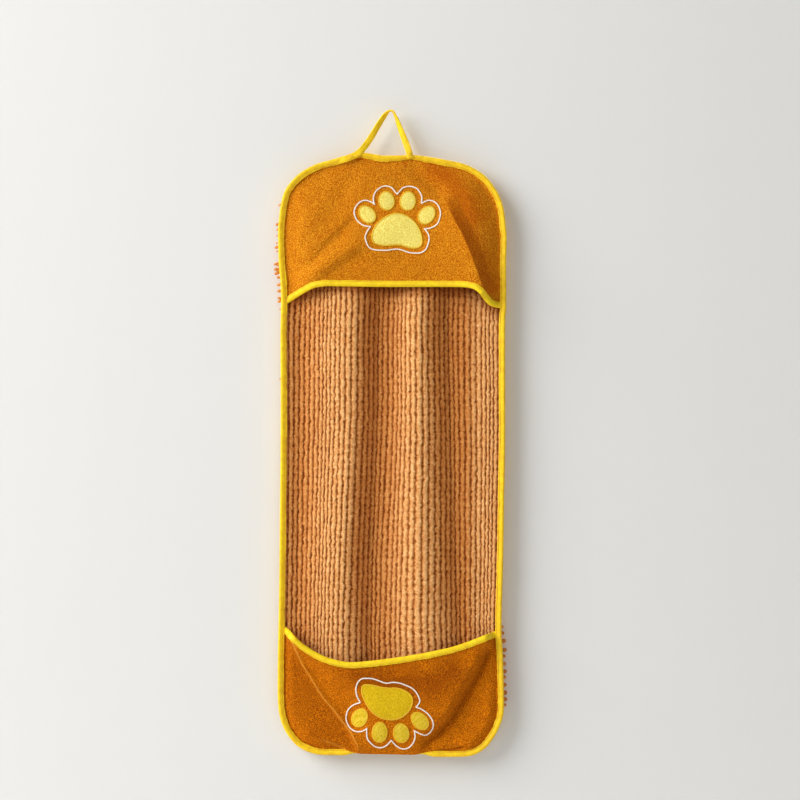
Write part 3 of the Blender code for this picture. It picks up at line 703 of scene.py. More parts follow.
def panel_piece(name, low, high, step):
    """A stretch of the panel between two heights, with every kernel of the corn-grid in relief."""
    rows = max(int(round((high - low) / step)), 1)
    z = np.linspace(low, high, rows + 1)[:, None]
    c = np.arange((len(COLUMN_EDGES) - 1) * PER_COLUMN + 1) / PER_COLUMN
    share = np.interp(c, np.arange(len(COLUMN_EDGES)), COLUMN_EDGES)[None, :]
    left, right = side_x(z, True), side_x(z, False)
    x = left + (right - left) * share
    x = x + 0.55 * drift(x, z) * smooth(share * 12) * smooth((1 - share) * 12)
    z = np.broadcast_to(z, x.shape)
    column = np.broadcast_to(np.floor(np.minimum(c, len(COLUMN_EDGES) - 1.001)), x.shape)
    u = np.broadcast_to(c - np.floor(c), x.shape)
    wander = 1.7 * np.sin(x / 37 + 0.6) + 1.1 * np.sin(x / 15 + z / 70) + 2.2 * (noise(column * 9, z, 60, 21) - 0.5)
    phase = (wander - z) / KERNEL
    row, v = np.floor(phase), phase - np.floor(phase)
    swell = np.sin(np.pi * v) ** 0.55
    plump = 0.88 + 0.24 * noise(column * 5 + 0.5, row * 5 + 0.5, 1.0, 31)
    q = np.abs(2 * u - 1)
    q = np.where(u == 0, 1.0, q)
    edge = column + np.round(u)
    ragged = noise(edge * 7.5, z, 2.5, 47)
    width = (0.79 + 0.16 * swell) * (0.74 + 0.42 * ragged)
    rib = np.sqrt(np.clip(1 - (q / width) ** 2.6, 0, 1))
    height = rib * (0.90 + 0.10 * swell) * plump
    grain = noise(x, z, 1.7, 41) - 0.5
    lump = noise(x, z, 3.4, 43) - 0.5
    rise = RELIEF * height + (1.0 * grain + 0.8 * lump) * (0.35 + 0.65 * rib)

    def wriggle(k):
        return (2.2 * (noise(k * 11.1, z, 3.4, 51) - 0.5) + 0.9 * (noise(k * 33.0, z, 11.0, 53) - 0.5)
                + 0.7 * (noise(k * 69.0, z, 23.0, 55) - 0.5))
    sway = wriggle(column) * (1 - u) + wriggle(column + 1) * u
    x = x + sway * smooth(share * 20) * smooth((1 - share) * 20)
    y = panel_y(x, z)
    slope = (panel_y(x + 1.5, z) - panel_y(x - 1.5, z)) / 3.0
    size = np.sqrt(1 + slope ** 2)
    rise = rise - 0.9
    points = np.stack([x + slope / size * rise, y - rise / size, z + lift(x, z)], -1)
    # rib height for the colour: partly the cloth's own darker grooves, partly painted groove shade
    nap = np.clip(height * 0.90 + 0.42 * grain + 0.22 * lump, 0, 1)
    # painted shade mask: high in the fold valleys and on flanks that face right, away from the lamp
    hollow = np.clip(np.maximum((1 - wave(x, z)) * (1 - 0.9 * smooth((x - 108) / 32)), 1.5 * slope), 0, 1)
    # painted shadow: darkens the panel just under the top pocket's mouth
    tucked = smooth((z - mouth_top(x) + 24.0) / 17.0)
    return build(name, points, lattice(*x.shape), nap=nap, hollow=hollow, tucked=tucked)


FINE = KERNEL / 9
panels = [
    ride(panel_piece("corn_grid_cloth_hidden_top", -250, -68.5, 4.0), CORN_GRID, "corn_grid", body="upper"),
    ride(panel_piece("corn_grid_cloth_upper", -450, -250, FINE), CORN_GRID, "corn_grid", body="upper"),
    ride(panel_piece("corn_grid_cloth_middle", -600, -450, FINE), CORN_GRID, "corn_grid", blend="fold"),
    ride(panel_piece("corn_grid_cloth_lower", -846, -600, FINE), CORN_GRID, "corn_grid", body="lower"),
    ride(panel_piece("corn_grid_cloth_hidden_bottom", -962, -846, 4.0), CORN_GRID, "corn_grid", body="lower")]
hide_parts("corn_grid_panel_upper")
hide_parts("corn_grid_panel_lower")


# ---------------------------------------------------------------- chenille backing: a knitted ground and its pile
def ground_y(x, z):
    return panel_y(x, z) + 3.4


def ground_piece(name, low, high):
    rows, columns = max(int(round((high - low) / 4.0)), 1), 90
    z = np.linspace(low, high, rows + 1)[:, None]
    share = np.linspace(0, 1, columns)[None, :]
    left, right = side_x(z, True), side_x(z, False)
    x = left + (right - left) * share
    z = np.broadcast_to(z, x.shape)
    points = np.stack([x, ground_y(x, z) + 0.8 * (noise(x, z, 9, 61) - 0.5), z + lift(x, z)], -1)
    return build(name, points, lattice(*x.shape)[:, ::-1])


grounds = [ride(ground_piece("chenille_ground_upper", -480, -68.5), GROUND, "chenille", body="upper"),
           ride(ground_piece("chenille_ground_middle", -580, -480), GROUND, "chenille", blend="fold"),
           ride(ground_piece("chenille_ground_lower", -962, -580), GROUND, "chenille", body="lower")]
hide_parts("chenille_backing_upper")
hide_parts("chenille_backing_lower")


def noodle(pile, root, length, out, sway, radius, tint, drop=0.8):
    """One chenille strand: it leaves the ground cloth to the rear and droops."""
    t = np.linspace(0, 1, 8)
    x = root[0] + sway * t
    y = root[1] + out * np.sin(np.minimum(t * 1.9, 1.45)) * (1 - 0.25 * t)
    z = root[2] - length * drop * t ** 1.35 + 0.12 * length * np.sin(np.pi * t)
    lumps = 1 + 0.16 * np.sin(t * 19 + root[0]) + 0.05 * np.sin(t * 41 + root[2])
    taper = np.sqrt(np.clip(1 - (2 * np.abs(t - 0.52)) ** 6, 0.06, 1))
    tube(pile, np.stack([x, y, z], 1), radius * lumps * taper, 8, tint, up=(0.0, 0.6, 0.8))


noodles = {"upper": Pile(), "middle": Pile(), "lower": Pile()}
row_count = 0
for z0 in np.arange(-77.5, -958.0, -9.6):
    row_count += 1
    for x0 in np.arange(-168.0, 172.0, 10.2):
        jump = RANDOM.uniform(-2.0, 2.0, 2)
        x = x0 + (5.1 if row_count % 2 else 0.0) + jump[0]
        z = z0 + jump[1]
        size = RANDOM.uniform(0.85, 1.15, 5)
        if inside(x, z) < 11.2:
            continue
        reach = 16.5 * size[0] * smooth((inside(x, z - 14.0) + 6.0) / 14.0) + 4.0
        where = "upper" if z > -470 else ("lower" if z < -592 else "middle")
        noodle(noodles[where], (x, float(ground_y(x, z)) + 0.6, z + float(lift(x, z))), float(min(reach, 16.5 * size[0])),
               7.6 * size[1], RANDOM.uniform(-4.5, 4.5), 2.45 * size[2], RANDOM.uniform(0, 1))
TUFTS = [(276.3, 225.3, 1.9), (276.9, 230, 1.7), (276.6, 236, 1.1), (276.3, 243, 1.1), (275.4, 247.8, 2.1),
         (276.6, 252, 1.0), (274.4, 264.5, 1.7), (276.8, 265.5, 1.6), (274.9, 269.7, 2.3), (276.9, 271.5, 1.8),
         (275.3, 273.8, 2.2), (277.4, 277, 1.8), (277.7, 285, 2.1), (278.2, 291.2, 2.2), (278.4, 297.6, 2.0),
         (278.6, 301.8, 2.1), (279.6, 309, 1.2), (279.6, 379, 1.3), (278.6, 206, 1.1), (502.0, 627.4, 1.5),
         (502.6, 633.5, 1.8), (504.2, 640.6, 2.3), (504.8, 649.5, 2.1), (503.9, 656.7, 1.8), (504.2, 664, 2.1),
         (504.8, 671, 2.2), (504.2, 678, 2.0), (504.6, 685, 2.2), (505.0, 692.2, 2.4), (505.2, 699, 2.2),
         (504.6, 705.2, 1.8)]
for u, v, size in TUFTS:                                     # strand ends that stray past the tape
    x, z = drawn(u, v)
    way = -1.0 if u < 391 else 1.0
    if way > 0:
        x, size = x + 0.9, size * 1.5
    t = np.linspace(0, 1, 9)
    lean, bow, long = RANDOM.uniform(-3.0, 9.0), RANDOM.uniform(-1.4, 1.4), RANDOM.uniform(9.5, 13.5)
    path = np.stack([x - way * long * (1 - t) + way * 0.4 * size, 8.0 - 3.2 * t ** 2,
                     z + lean * (1 - t) ** 1.5 + bow * np.sin(np.pi * t)], 1)
    girth = size * np.array([1.1, 1.15, 0.95, 1.05, 0.85, 0.9, 1.1, 1.0, 0.62])
    # strand ends on the right side get a darker tint: painted shade on the side away from the lamp
    tube(noodles["upper" if v < 400 else "lower"], path, girth, 9, RANDOM.uniform(0.75, 1.2) - 0.5 * (way > 0), up=(0.0, 0.6, 0.8))
for part, keys in (("upper", {"body": "upper"}), ("middle", {"blend": "fold"}), ("lower", {"body": "lower"})):
    ride(noodles[part].made("chenille_pile_" + part), CHENILLE, "chenille", **keys)


# ---------------------------------------------------------------- edge binding
def binding_section(count=9):
    """Across the folded tape, from its front inner edge round the towel's edge to the back: (inward, y)."""
    front = [(8.9, -3.3), (9.4, -3.9), (9.5, -4.6), (9.1, -5.25), (8.5, -5.6), (7.9, -5.35), (7.3, -5.4),
             (6.6, -5.95), (5.6, -6.4), (4.4, -6.8), (3.2, -7.15), (2.1, -7.3), (1.15, -6.75), (0.45, -5.0),
             (0.08, -2.4)]
    back = [(x, -y) for x, y in front[::-1]]
    return np.array(front + [(0.0, 0.0)] + back)


SECTION = binding_section()


def edge_binding():
    stations = int(RIM.length / 1.7)
    s = np.arange(stations) / stations * RIM.length
    p, d = RIM.point(s), RIM.direction(s, 3.0)
    inward, y = SECTION[:, 0][None, :], SECTION[:, 1][None, :]
    pull = noise(s, s * 0, 5.2, 71)[:, None] - 0.5
    slack = noise(s, s * 0, 19.0, 73)[:, None] - 0.5
    edge = smooth((inward - 6.0) / 3.5)
    reach = inward + edge * 0.8 * pull + 0.5 * slack * edge
    pinched = np.exp(-((p[:, :1] - 30) / 17) ** 2) + np.exp(-((p[:, :1] + 51) / 13) ** 2)
    reach = reach * (1 - 0.30 * pinched * (p[:, 1:] > -110))
    depth = y * (1 + 0.07 * pull + 0.09 * slack)
    x = p[:, :1] - d[:, 1:] * reach
    z = p[:, 1:] + d[:, :1] * reach
    z = z + lift(x, z)
    points = np.stack([x, np.broadcast_to(depth, x.shape), z], -1)
    return build("edge_binding", points, lattice(*x.shape, close_rows=True))


binding = ride(edge_binding(), TAPE_EDGE, "tape", blend="fold")
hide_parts("edge_binding_upper", "edge_binding_lower")

stitches = Pile()
pitch = 3.5
for k in range(int(RIM.length / pitch)):
    s = k * pitch + np.linspace(0.25, pitch - 0.25, 4)
    p, d = RIM.point(s), RIM.direction(s, 3.0)
    for face in (-1, 1):
        bow = np.array([-0.25, 0.12, 0.12, -0.25])
        pinched = np.exp(-((p[:, 0] - 30) / 17) ** 2) + np.exp(-((p[:, 0] + 51) / 13) ** 2)
        reach = 7.6 * (1 - 0.30 * pinched * (p[:, 1] > -110))
        x, z = p[:, 0] - d[:, 1] * reach, p[:, 1] + d[:, 0] * reach
        z = z + lift(x, z)
        tube(stitches, np.stack([x, face * (5.4 + bow), z], 1), [0.28, 0.36, 0.36, 0.28], 5)
edge_stitches = ride(stitches.made("edge_binding_stitches"), YELLOW_THREAD, "thread", blend="fold")


# ---------------------------------------------------------------- pockets
def patch(bottom, top, left, right, u, w):
    u, w = u[..., None], w[..., None]
    flat = bottom(u[..., 0]) * (1 - w) + top(u[..., 0]) * w + left(w[..., 0]) * (1 - u) + right(w[..., 0]) * u
    zero, one = np.zeros(1), np.ones(1)
    return flat - (bottom(zero) * (1 - u) * (1 - w) + bottom(one) * u * (1 - w)
                   + top(zero) * (1 - u) * w + top(one) * u * w)


def end_patch(upper, low_edge):
    """Maps (u, w) to (x, z) between a pocket's mouth and one rounded end."""
    corners = CORNER_TOP if upper else CORNER_BOTTOM
    left_corner, right_corner = (TUCKED.nearest(c) for c in corners)
    ends = []
    for is_left in (True, False):
        z = float(low_edge(0.0))
        for _ in range(20):
            s = TUCKED.crossing(z, is_left)
            z = float(low_edge(TUCKED.point(s)[0]))
        ends.append(s)
    left_start, right_start = ends
    left_x, right_x = TUCKED.point(left_start)[0], TUCKED.point(right_start)[0]
    around = right_corner - TUCKED.length if upper else right_corner

    def bottom(u):
        x = left_x + (right_x - left_x) * u
        return np.stack([x, low_edge(x)], -1)
    return lambda u, w: patch(bottom, lambda t: TUCKED.point(left_corner + (around - left_corner) * t),
                              lambda t: TUCKED.point(left_start + (left_corner - left_start) * t),
                              lambda t: TUCKED.point(right_start + (right_corner - right_start) * t), u, w)


def pocket_piece(name, upper, columns, rows):
    mouth = mouth_top if upper else mouth_bottom
    lip = -3.0 if upper else 3.0
    area = end_patch(upper, lambda x: mouth(x) + lip)
    w, u = np.meshgrid(np.linspace(0, 1, rows) ** 1.04, np.linspace(0, 1, columns), indexing="ij")
    p = area(u, w)
    x, z = p[..., 0], p[..., 1]
    y = pocket_y(x, z, upper)
    rim = inside(x, z)
    if upper:
        # painted shade along the top pocket's crest and over its upper right, which faces away from the lamp
        hollow = np.maximum(np.minimum(crease(x, z, TOP_CREST, 1.3, 1, 36, 0.35, 0.02, 0), 1),
                            crease(x, z, [(418, 158), (448, 178), (466, 200), (480, 236)], 1.0, 28, 30, 0.2, 0.2, 0))
        crest = x * 0.0
    else:
        # painted shade in the bottom pocket's valleys and beside its creases
        middle = crease(x, z, [(330, 664), (356, 676), (395, 684), (432, 684), (470, 662)], 1.05, 40, 40, 0.25, 0.12, 0)
        hollow = np.maximum(crease(x, z, RIGHT_VALLEY, 0.9, 11, 8, 0.1, 0.1, 0), middle)
        hollow = np.maximum(hollow, crease(x, z, LEFT_CREASE, 0.5, 80, 2.5, 0.03, 0.1, 0))
        # the slit above the binding is pressed back a little and darkened with painted shadow
        slit = crease(x, z, [(433, 750.6), (448, 749.6), (458, 748.2), (469, 745.4)], 1.0, 2.6, 2.2, 0.25, 0.25, 0)
        hollow = np.maximum(hollow, 1.5 * slit)
        y = y + 1.8 * slit
        # painted highlight on the bottom pocket's crease lines
        crest = (crease(x, z, LEFT_CREASE, 0.66, 1.4, 1.9, 0.03, 0.12, 0)
                 + crease(x, z, [(318, 738), (331, 743), (345.4, 748.7), (359, 753.3)], 0.28, 2.6, 2.6, 0.2, 0.1, 0))
    grain = (noise(x, z, 1.6, 81) - 0.5) * 0.50 + (noise(x, z, 3.3, 83) - 0.5) * 0.22
    y = y - grain * smooth((rim - 6) / 5)
    if not upper:
        z = z - sag(x, rim) + lift(x, z) * (1 - smooth((rim - TUCK) / 8))
    points = np.stack([x, y, z], -1)
    quads = lattice(*x.shape)
    return build(name, points, quads if upper else quads[:, ::-1], hollow=hollow, crest=crest)


for end, upper, body, material, columns, rows in (
        ("top", True, "upper", FLEECE_TOP, 300, 172), ("bottom", False, "lower", FLEECE_BOTTOM, 300, 150)):
    piece = ride(pocket_piece(end + "_pocket_fleece", upper, columns, rows), material, "fleece", body=body)
    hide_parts(end + "_pocket")


# ---------------------------------------------------------------- bound mouths
def mouth_route(upper):
    mouth = mouth_top if upper else mouth_bottom
    z = float(mouth(-150.0))
    left = TUCKED.point(TUCKED.crossing(z, True))[0] + 1.5
    right = TUCKED.point(TUCKED.crossing(float(mouth(150.0)), False))[0] - 1.5
    x = np.linspace(left, right, 400)
    return Route(np.stack([x, mouth(x)], 1))


MOUTH_SECTION = np.array(                                   # (towards the pocket, y), from the front inner edge
    [(4.3, -0.9), (4.75, -1.5), (4.7, -2.2), (4.2, -2.65), (3.6, -2.45), (3.0, -2.45), (2.3, -3.0), (1.2, -3.35),
     (-0.4, -3.45), (-2.0, -3.2), (-3.3, -2.5), (-4.2, -1.4), (-4.6, 0.0), (-4.2, 1.4), (-3.3, 2.3), (-2.0, 2.7),
     (0.4, 2.8), (2.4, 2.6), (4.2, 2.3), (4.7, 1.7), (4.3, 1.1)])


def mouth_frame(upper, s):
    """Points along a mouth, the way into the pocket, and how deep the pocket's front lies there."""
    route = mouth_route(upper)
    p, d = route.point(s), route.direction(s, 2.5)
    into = np.stack([-d[:, 1], d[:, 0]], 1) * (1.0 if upper else -1.0)
    y = pocket_y(p[:, 0], p[:, 1] + (1.5 if upper else -1.5), upper)
    return p, into, y


def mouth_piece(end, upper):
    route = mouth_route(upper)
    s = np.linspace(0, route.length, int(route.length / 1.4))
    p, into, y = mouth_frame(upper, s)
    pull = noise(s, s * 0, 5.0, 91 + upper)[:, None] - 0.5
    slack = noise(s, s * 0, 21.0, 93 + upper)[:, None] - 0.5
    reach, depth = MOUTH_SECTION[:, 0][None, :], MOUTH_SECTION[:, 1][None, :]
    edge = smooth((reach - 1.5) / 3.0)
    reach = reach + edge * 0.6 * pull + 0.35 * slack
    x = p[:, :1] + into[:, :1] * reach
    z = p[:, 1:] + into[:, 1:] * reach
    flatter = smooth((inside(x, z) - 3.0) / 12.0) * 0.45 + 0.55
    yy = y[:, None] + depth * (1 + 0.10 * slack + 0.06 * pull) * flatter + 0.5
    points = np.stack([x, yy, z], -1)
    quads = lattice(*x.shape)
    return build(end + "_pocket_mouth_tape", points, quads[:, ::-1] if upper else quads)


mouths, mouth_stitches = {}, {}
for end, upper, body in (("top", True, "upper"), ("bottom", False, "lower")):
    piece = ride(mouth_piece(end, upper), TAPE_MOUTH, "tape", body=body)
    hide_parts(end + "_pocket_mouth_binding")
    mouths[end] = piece
    pile = Pile()
    length = mouth_route(upper).length
    for k in range(int((length - 12) / pitch)):
        s = 6 + k * pitch + np.linspace(0.25, pitch - 0.25, 4)
        p, into, y = mouth_frame(upper, s)
        bow = np.array([-0.25, 0.12, 0.12, -0.25])
        tube(pile, np.stack([p[:, 0] + into[:, 0] * 3.3, y - 2.0 - bow, p[:, 1] + into[:, 1] * 3.3], 1),
             [0.26, 0.34, 0.34, 0.26], 5)
    mouth_stitches[end] = ride(pile.made(end + "_pocket_mouth_stitches"), YELLOW_THREAD, "thread", body=body)


# ---------------------------------------------------------------- embroidered paws
TOP_OUTLINE = [
    [(397.1, 194.2), (394.3, 190.8), (391.4, 187.5), (386.2, 186), (381.1, 187.1), (376.7, 190.4), (374.1, 194.8),
     (373.4, 199.9), (374.5, 204.3)],
    [(374.5, 204.3), (371.5, 202.1), (364.9, 200.3), (359.4, 202.5), (355.4, 207.3), (354.2, 212.4), (355.8, 218.3),
     (359.1, 222.3), (364.2, 225.6), (370.4, 226.7)],
    [(370.4, 226.7), (367.1, 231.5), (365.3, 236.6), (366, 241), (368.2, 246.2), (372.3, 249.1), (378.9, 250.2),
     (387, 250.2), (396.5, 249.1), (402.4, 250.2), (409, 252.4), (416.3, 253.1), (421.4, 252.4), (425.8, 249.1),
     (428, 244), (429.1, 238.8), (428, 233.7), (424.7, 228.9)],
    [(424.7, 228.9), (431, 227.8), (436.9, 224.2), (439.4, 219), (440.5, 213.2), (439, 207.3), (435.4, 202.5),
     (428.8, 200.3), (421.4, 203.2)],
    [(421.4, 203.2), (421.8, 197), (420, 192.6), (416.3, 188.2), (409.7, 186.4), (403.1, 187.8), (397.1, 194.2)]]
TOP_PAD = [(397.2, 213.5), (404.6, 215), (411.2, 219), (416.3, 224.2), (420, 230.8), (421.8, 237.4), (421.8, 243.2),
           (419.2, 246.9), (414.1, 248), (408.2, 247.3), (402.4, 245.4), (396.5, 244.7), (390.6, 245.1), (384, 245.4),
           (378.1, 244.3), (373.7, 242.1), (372.3, 237.4), (373.4, 230.8), (376.7, 224.9), (382.5, 219), (389.9, 215)]
TOP_TOES = [(367.3, 214.3, 14.0, 18.7, 42.0), (386.6, 200.8, 15.0, 18.0, 8.0),
            (407.9, 201.0, 15.0, 18.3, -8.0), (426.9, 215.0, 14.3, 19.4, -38.0)]
BOTTOM_OUTLINE = [
    [(360.2, 702.5), (356.8, 695.6), (356, 688), (358.3, 681.8), (362.1, 678.8), (366.7, 678.4), (372.8, 678.8),
     (379.7, 681.1), (386.2, 683.2), (392.7, 682.4), (398.9, 683), (405, 685), (411.5, 688), (415.7, 691.8),
     (418.4, 696.4), (419.7, 701.7), (416.1, 707.1)],
    [(416.1, 707.1), (421.8, 709.4), (427.9, 714), (431.8, 719.3), (433.3, 725.4), (431.4, 730.8), (426.4, 735),
     (421, 734.2), (414.5, 730.8)],
    [(414.5, 730.8), (414.9, 737.7), (412.6, 743.8), (408, 748), (402.3, 748.8), (396.6, 746.1), (391.2, 740.4)],
    [(391.2, 740.4), (387, 745), (382, 747.5), (375.9, 746.9), (370.6, 743), (367.1, 737.7), (366.7, 728.5)],
    [(366.7, 728.5), (362.1, 731.2), (356, 731.4), (350.7, 728.5), (347.2, 723.1), (346.1, 717), (348, 710.1),
     (353, 705.2), (360.2, 702.5)]]
BOTTOM_PAD = [(362.9, 686), (368.3, 684.9), (374.4, 685.7), (382, 687.6), (388.9, 688.3), (396.6, 688.3),
              (403.5, 690.2), (409.6, 694.1), (412.3, 698.7), (411.9, 704.8), (408.8, 710.9), (404.2, 715.5),
              (398.1, 718.6), (391.2, 719.7), (383.6, 718.6), (377.4, 715.9), (372.1, 711.7), (367.5, 705.6),
              (363.7, 697.9), (361.8, 691)]
BOTTOM_TOES = [(359.7, 717.8, 14.5, 18.4, -28.0), (379.7, 732.3, 14.5, 19.5, -3.0),
               (401.2, 733.1, 14.9, 18.4, 8.0), (419.9, 720.9, 13.8, 19.5, 45.0)]


def toe_points(u, v, width, height, lean, count=28):
    """An egg-like toe; a positive lean turns its top to the left."""
    cx, cz = drawn(u, v)
    a = 2 * np.pi * np.arange(count) / count
    p, q = np.cos(a) * width / 2 * GRID, np.sin(a) * height / 2 * GRID
    p = p * (1 - 0.05 * np.sin(a))
    t = math.radians(lean)
    return np.stack([cx + p * math.cos(t) - q * math.sin(t), cz + p * math.sin(t) + q * math.cos(t)], 1)


def anticlockwise(points):
    x, z = points[:, 0], points[:, 1]
    area = np.sum(x * np.roll(z, -1) - np.roll(x, -1) * z)
    return points if area > 0 else points[::-1]


def pad_piece(name, outline, upper, puff):
    """A soft appliqué pad, raised a little over the pocket and held down at its rim."""
    route = Route(spline(outline, 6, True), True)
    around = int(route.length / 1.1)
    ring = anticlockwise(route.point(np.arange(around) / around * route.length))
    middle = ring.mean(0)
    rings = max(int(np.hypot(*(ring - middle).T).min() / 1.0), 10)
    shares = np.linspace(1.0, 0.04, rings)
    points, tint = [], []
    for share in shares:
        p = middle + (ring - middle) * share
        x, z = p[:, 0], p[:, 1]
        rise = puff * (1 - share ** 3.2) ** 0.6 if share < 1 else 0.0
        grain = (noise(x, z, 1.5, 101) - 0.5) * 0.34 + (noise(x, z, 3.0, 103) - 0.5) * 0.3
        y = pocket_seen(x, z, upper) - 0.55 - rise - grain * min(1.0, (1 - share) * 6)
        points.append(np.stack([x, y, z], 1))
    count = len(points) * around
    centre = np.array([[middle[0], float(pocket_seen(*middle, upper)) - 0.55 - puff, middle[1]]])
    quads = lattice(len(points), around, close_columns=True)
    k = np.arange(around)
    tris = np.stack([(rings - 1) * around + k, (rings - 1) * around + (k + 1) % around, np.full(around, count)], 1)
    back = np.vstack(points + [centre])
    return build(name, back, quads, tris), route


def satin_border(pile, route, upper, width, height):
    """Satin stitches laid side by side across the pad's rim."""
    count = int(route.length / 0.62)
    s = np.arange(count) / count * route.length
    p, d = route.point(s), route.direction(s, 1.2)
    out = np.stack([d[:, 1], -d[:, 0]], 1)
    across = np.array([-1.0, -0.8, -0.4, 0.0, 0.4, 0.8, 1.0])
    crown = np.sqrt(np.clip(1 - across ** 2, 0, 1))
    ridge = 1 + 0.24 * ((np.arange(count) % 2) * 2 - 1) + 0.2 * (noise(s, s * 0, 2.6, 111) - 0.5)
    x = p[:, :1] + out[:, :1] * across * width / 2
    z = p[:, 1:] + out[:, 1:] * across * width / 2
    y = pocket_seen(x, z, upper) - 0.15 - height * crown[None, :] * ridge[:, None]
    quads = lattice(count, len(across), close_rows=True)
    pile.add(np.stack([x, y, z], -1), quads, None, (np.arange(count * len(across)) // len(across)) % 2)


def chain_line(pile, segments, upper):
    """The white outline: small chain stitches, each a closed loop that starts inside the last."""
    points = []
    for segment in segments:
        q = spline([drawn(*p) for p in segment], 8, False)
        points.append(q[:-1])
    route = Route(np.vstack(points), True)
    link = 3.3
    count = int(round(route.length / link))
    link = route.length / count
    for k in range(count):
        s = (k + 0.5) * link
        p, d = route.point(s), route.direction(s, 0.9)
        n = np.array([-d[1], d[0]])
        a = 2 * np.pi * np.arange(10) / 10
        x = p[0] + d[0] * np.cos(a) * link * 0.60 + n[0] * np.sin(a) * 0.60
        z = p[1] + d[1] * np.cos(a) * link * 0.60 + n[1] * np.sin(a) * 0.60
        y = pocket_seen(x, z, upper) - 0.75 - 0.25 * np.cos(a)
        ring = np.stack([x, y, z], 1)
        t = np.roll(ring, -1, 0) - np.roll(ring, 1, 0)
        t /= np.linalg.norm(t, axis=1, keepdims=True)
        side = np.cross(t, (0.0, 1.0, 0.0))
        side /= np.maximum(np.linalg.norm(side, axis=1, keepdims=True), 1e-9)
        rise = np.cross(side, t)
        b = 2 * np.pi * np.arange(5) / 5
        body = ring[:, None, :] + 0.47 * (side[:, None, :] * np.cos(b)[None, :, None]
                                          + rise[:, None, :] * np.sin(b)[None, :, None])
        pile.add(body, lattice(10, 5, close_rows=True, close_columns=True))


paw_pieces = {"top": [], "bottom": []}
for end, upper, body, pad, toes, outline, material in (
        ("top", True, "upper", TOP_PAD, TOP_TOES, TOP_OUTLINE, PAD_TOP),
        ("bottom", False, "lower", BOTTOM_PAD, BOTTOM_TOES, BOTTOM_OUTLINE, PAD_BOTTOM)):
    shapes = [("pad", np.array([drawn(*p) for p in pad]), 1.5)]
    shapes += [(f"toe_{k}", toe_points(*toe), 1.3) for k, toe in enumerate(toes, 1)]
    border = Pile()
    for label, points, puff in shapes:
        points = anticlockwise(points)
        piece, route = pad_piece(f"{end}_paw_{label}_applique", points, upper, puff)
        ride(piece, TOE_BOTTOM if end == "bottom" and label != "pad" else material, "applique", body=body)
        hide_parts(f"{end}_paw_{label}")
        paw_pieces[end].append(piece)
        satin_border(border, Route(anticlockwise(route.p[:-1]), True), upper, 2.5, 1.15)
    paw_pieces[end].append(ride(border.made(end + "_paw_satin_border"), SATIN, "embroidery", body=body))
    chain = Pile()
    chain_line(chain, outline, upper)
    line = ride(chain.made(end + "_paw_chain_stitch"), WHITE_THREAD, "embroidery", body=body)
    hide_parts(end + "_paw_outline")
    paw_pieces[end].append(line)

# ---------------------------------------------------------------- hanging loop
LOOP = [(-92.0, -78.6), (-74.0, -73.4), (-58.0, -68.2), (-46.0, -60.5), (-37.0, -50.0), (-28.6, -37.5), (-21.3, -25.0),
        (-11.0, -8.8), (-4.2, -0.9), (0.0, 0.6), (3.4, -1.2), (7.6, -9.5), (13.5, -25.0), (20.5, -43.0),
        (26.0, -58.0), (29.5, -71.0)]
LOOP_ROUTE = Route(spline(LOOP, 10, False))
LOOP_HALF = 4.9                    # half the loop tape's width
APEX = LOOP_ROUTE.nearest((0.0, 0.6))


def loop_frame(s):
    """Middle line, and the tape's flat direction, which turns edge-on to ride over the hook."""
    p, d = LOOP_ROUTE.point(s), LOOP_ROUTE.direction(s, 1.5)
    reach = np.where(s < APEX, APEX, LOOP_ROUTE.length - APEX)
    height = (0.6 - p[:, 1]) / 66.0
    edge_on = np.clip(1.0 - height, 0.0, 1.0) ** 1.5
    turn = -math.pi / 2 * edge_on * (1.0 - 0.42 * smooth(-p[:, 0] / 12.0))    # the inner face shows on both legs
    front = smooth((-46.0 - p[:, 1]) / 16.0)                 # the feet lie on the front of the binding
    y = -7.4 * front
    y = y + 3.4 * smooth((-66.0 - p[:, 0]) / 20.0)           # the left foot runs on along the binding and under it
    wide = np.stack([-d[:, 1] * np.cos(turn), np.sin(turn), d[:, 0] * np.cos(turn)], 1)
    along = np.stack([d[:, 0], np.zeros(len(s)), d[:, 1]], 1)
    thick = np.cross(wide, along)
    return np.stack([p[:, 0], y, p[:, 1]], 1), wide, thick, along, front, edge_on


def loop_piece():
    s = np.linspace(0, LOOP_ROUTE.length, int(LOOP_ROUTE.length / 0.9))
    p, wide, thick, along, front, edge_on = loop_frame(s)
    half = [(-1.0, 0.0), (-0.93, 0.62), (-0.72, 0.98), (-0.56, 0.86), (-0.42, 1.0), (0.0, 1.12), (0.42, 1.05),
            (0.56, 0.86), (0.72, 0.98), (0.93, 0.62), (1.0, 0.0)]
    section = np.array(half + [(a, -b) for a, b in half[-2:0:-1]])
    ends = smooth(np.minimum(s, LOOP_ROUTE.length - s) / 2.0 + 0.25)
    pull = noise(s, s * 0, 4.6, 121) - 0.5
    width = LOOP_HALF * (1 + 0.04 * pull) * (0.9 + 0.1 * ends)
    depth = (1.35 + 0.2 * edge_on) * (1 + 0.10 * pull) * (1 - 0.25 * front) * ends
    points = (p[:, None, :] + wide[:, None, :] * (section[:, 0][None, :] * width[:, None])[..., None]
              + thick[:, None, :] * (section[:, 1][None, :] * depth[:, None])[..., None])
    count = len(s)
    sides = len(section)
    quads = lattice(count, sides, close_columns=True)
    all_points = np.vstack([points.reshape(-1, 3), p[:1], p[-1:]])
    k = np.arange(sides)
    tris = np.vstack([np.stack([(k + 1) % sides, k, np.full(sides, count * sides)], 1),
                      np.stack([(count - 1) * sides + k, (count - 1) * sides + (k + 1) % sides,
                                np.full(sides, count * sides + 1)], 1)])
    return build("hanging_loop_tape", all_points, quads[:, ::-1], tris[:, ::-1])


loop = ride(loop_piece(), TAPE_LOOP, "tape", blend="foot")
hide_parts("hanging_loop")

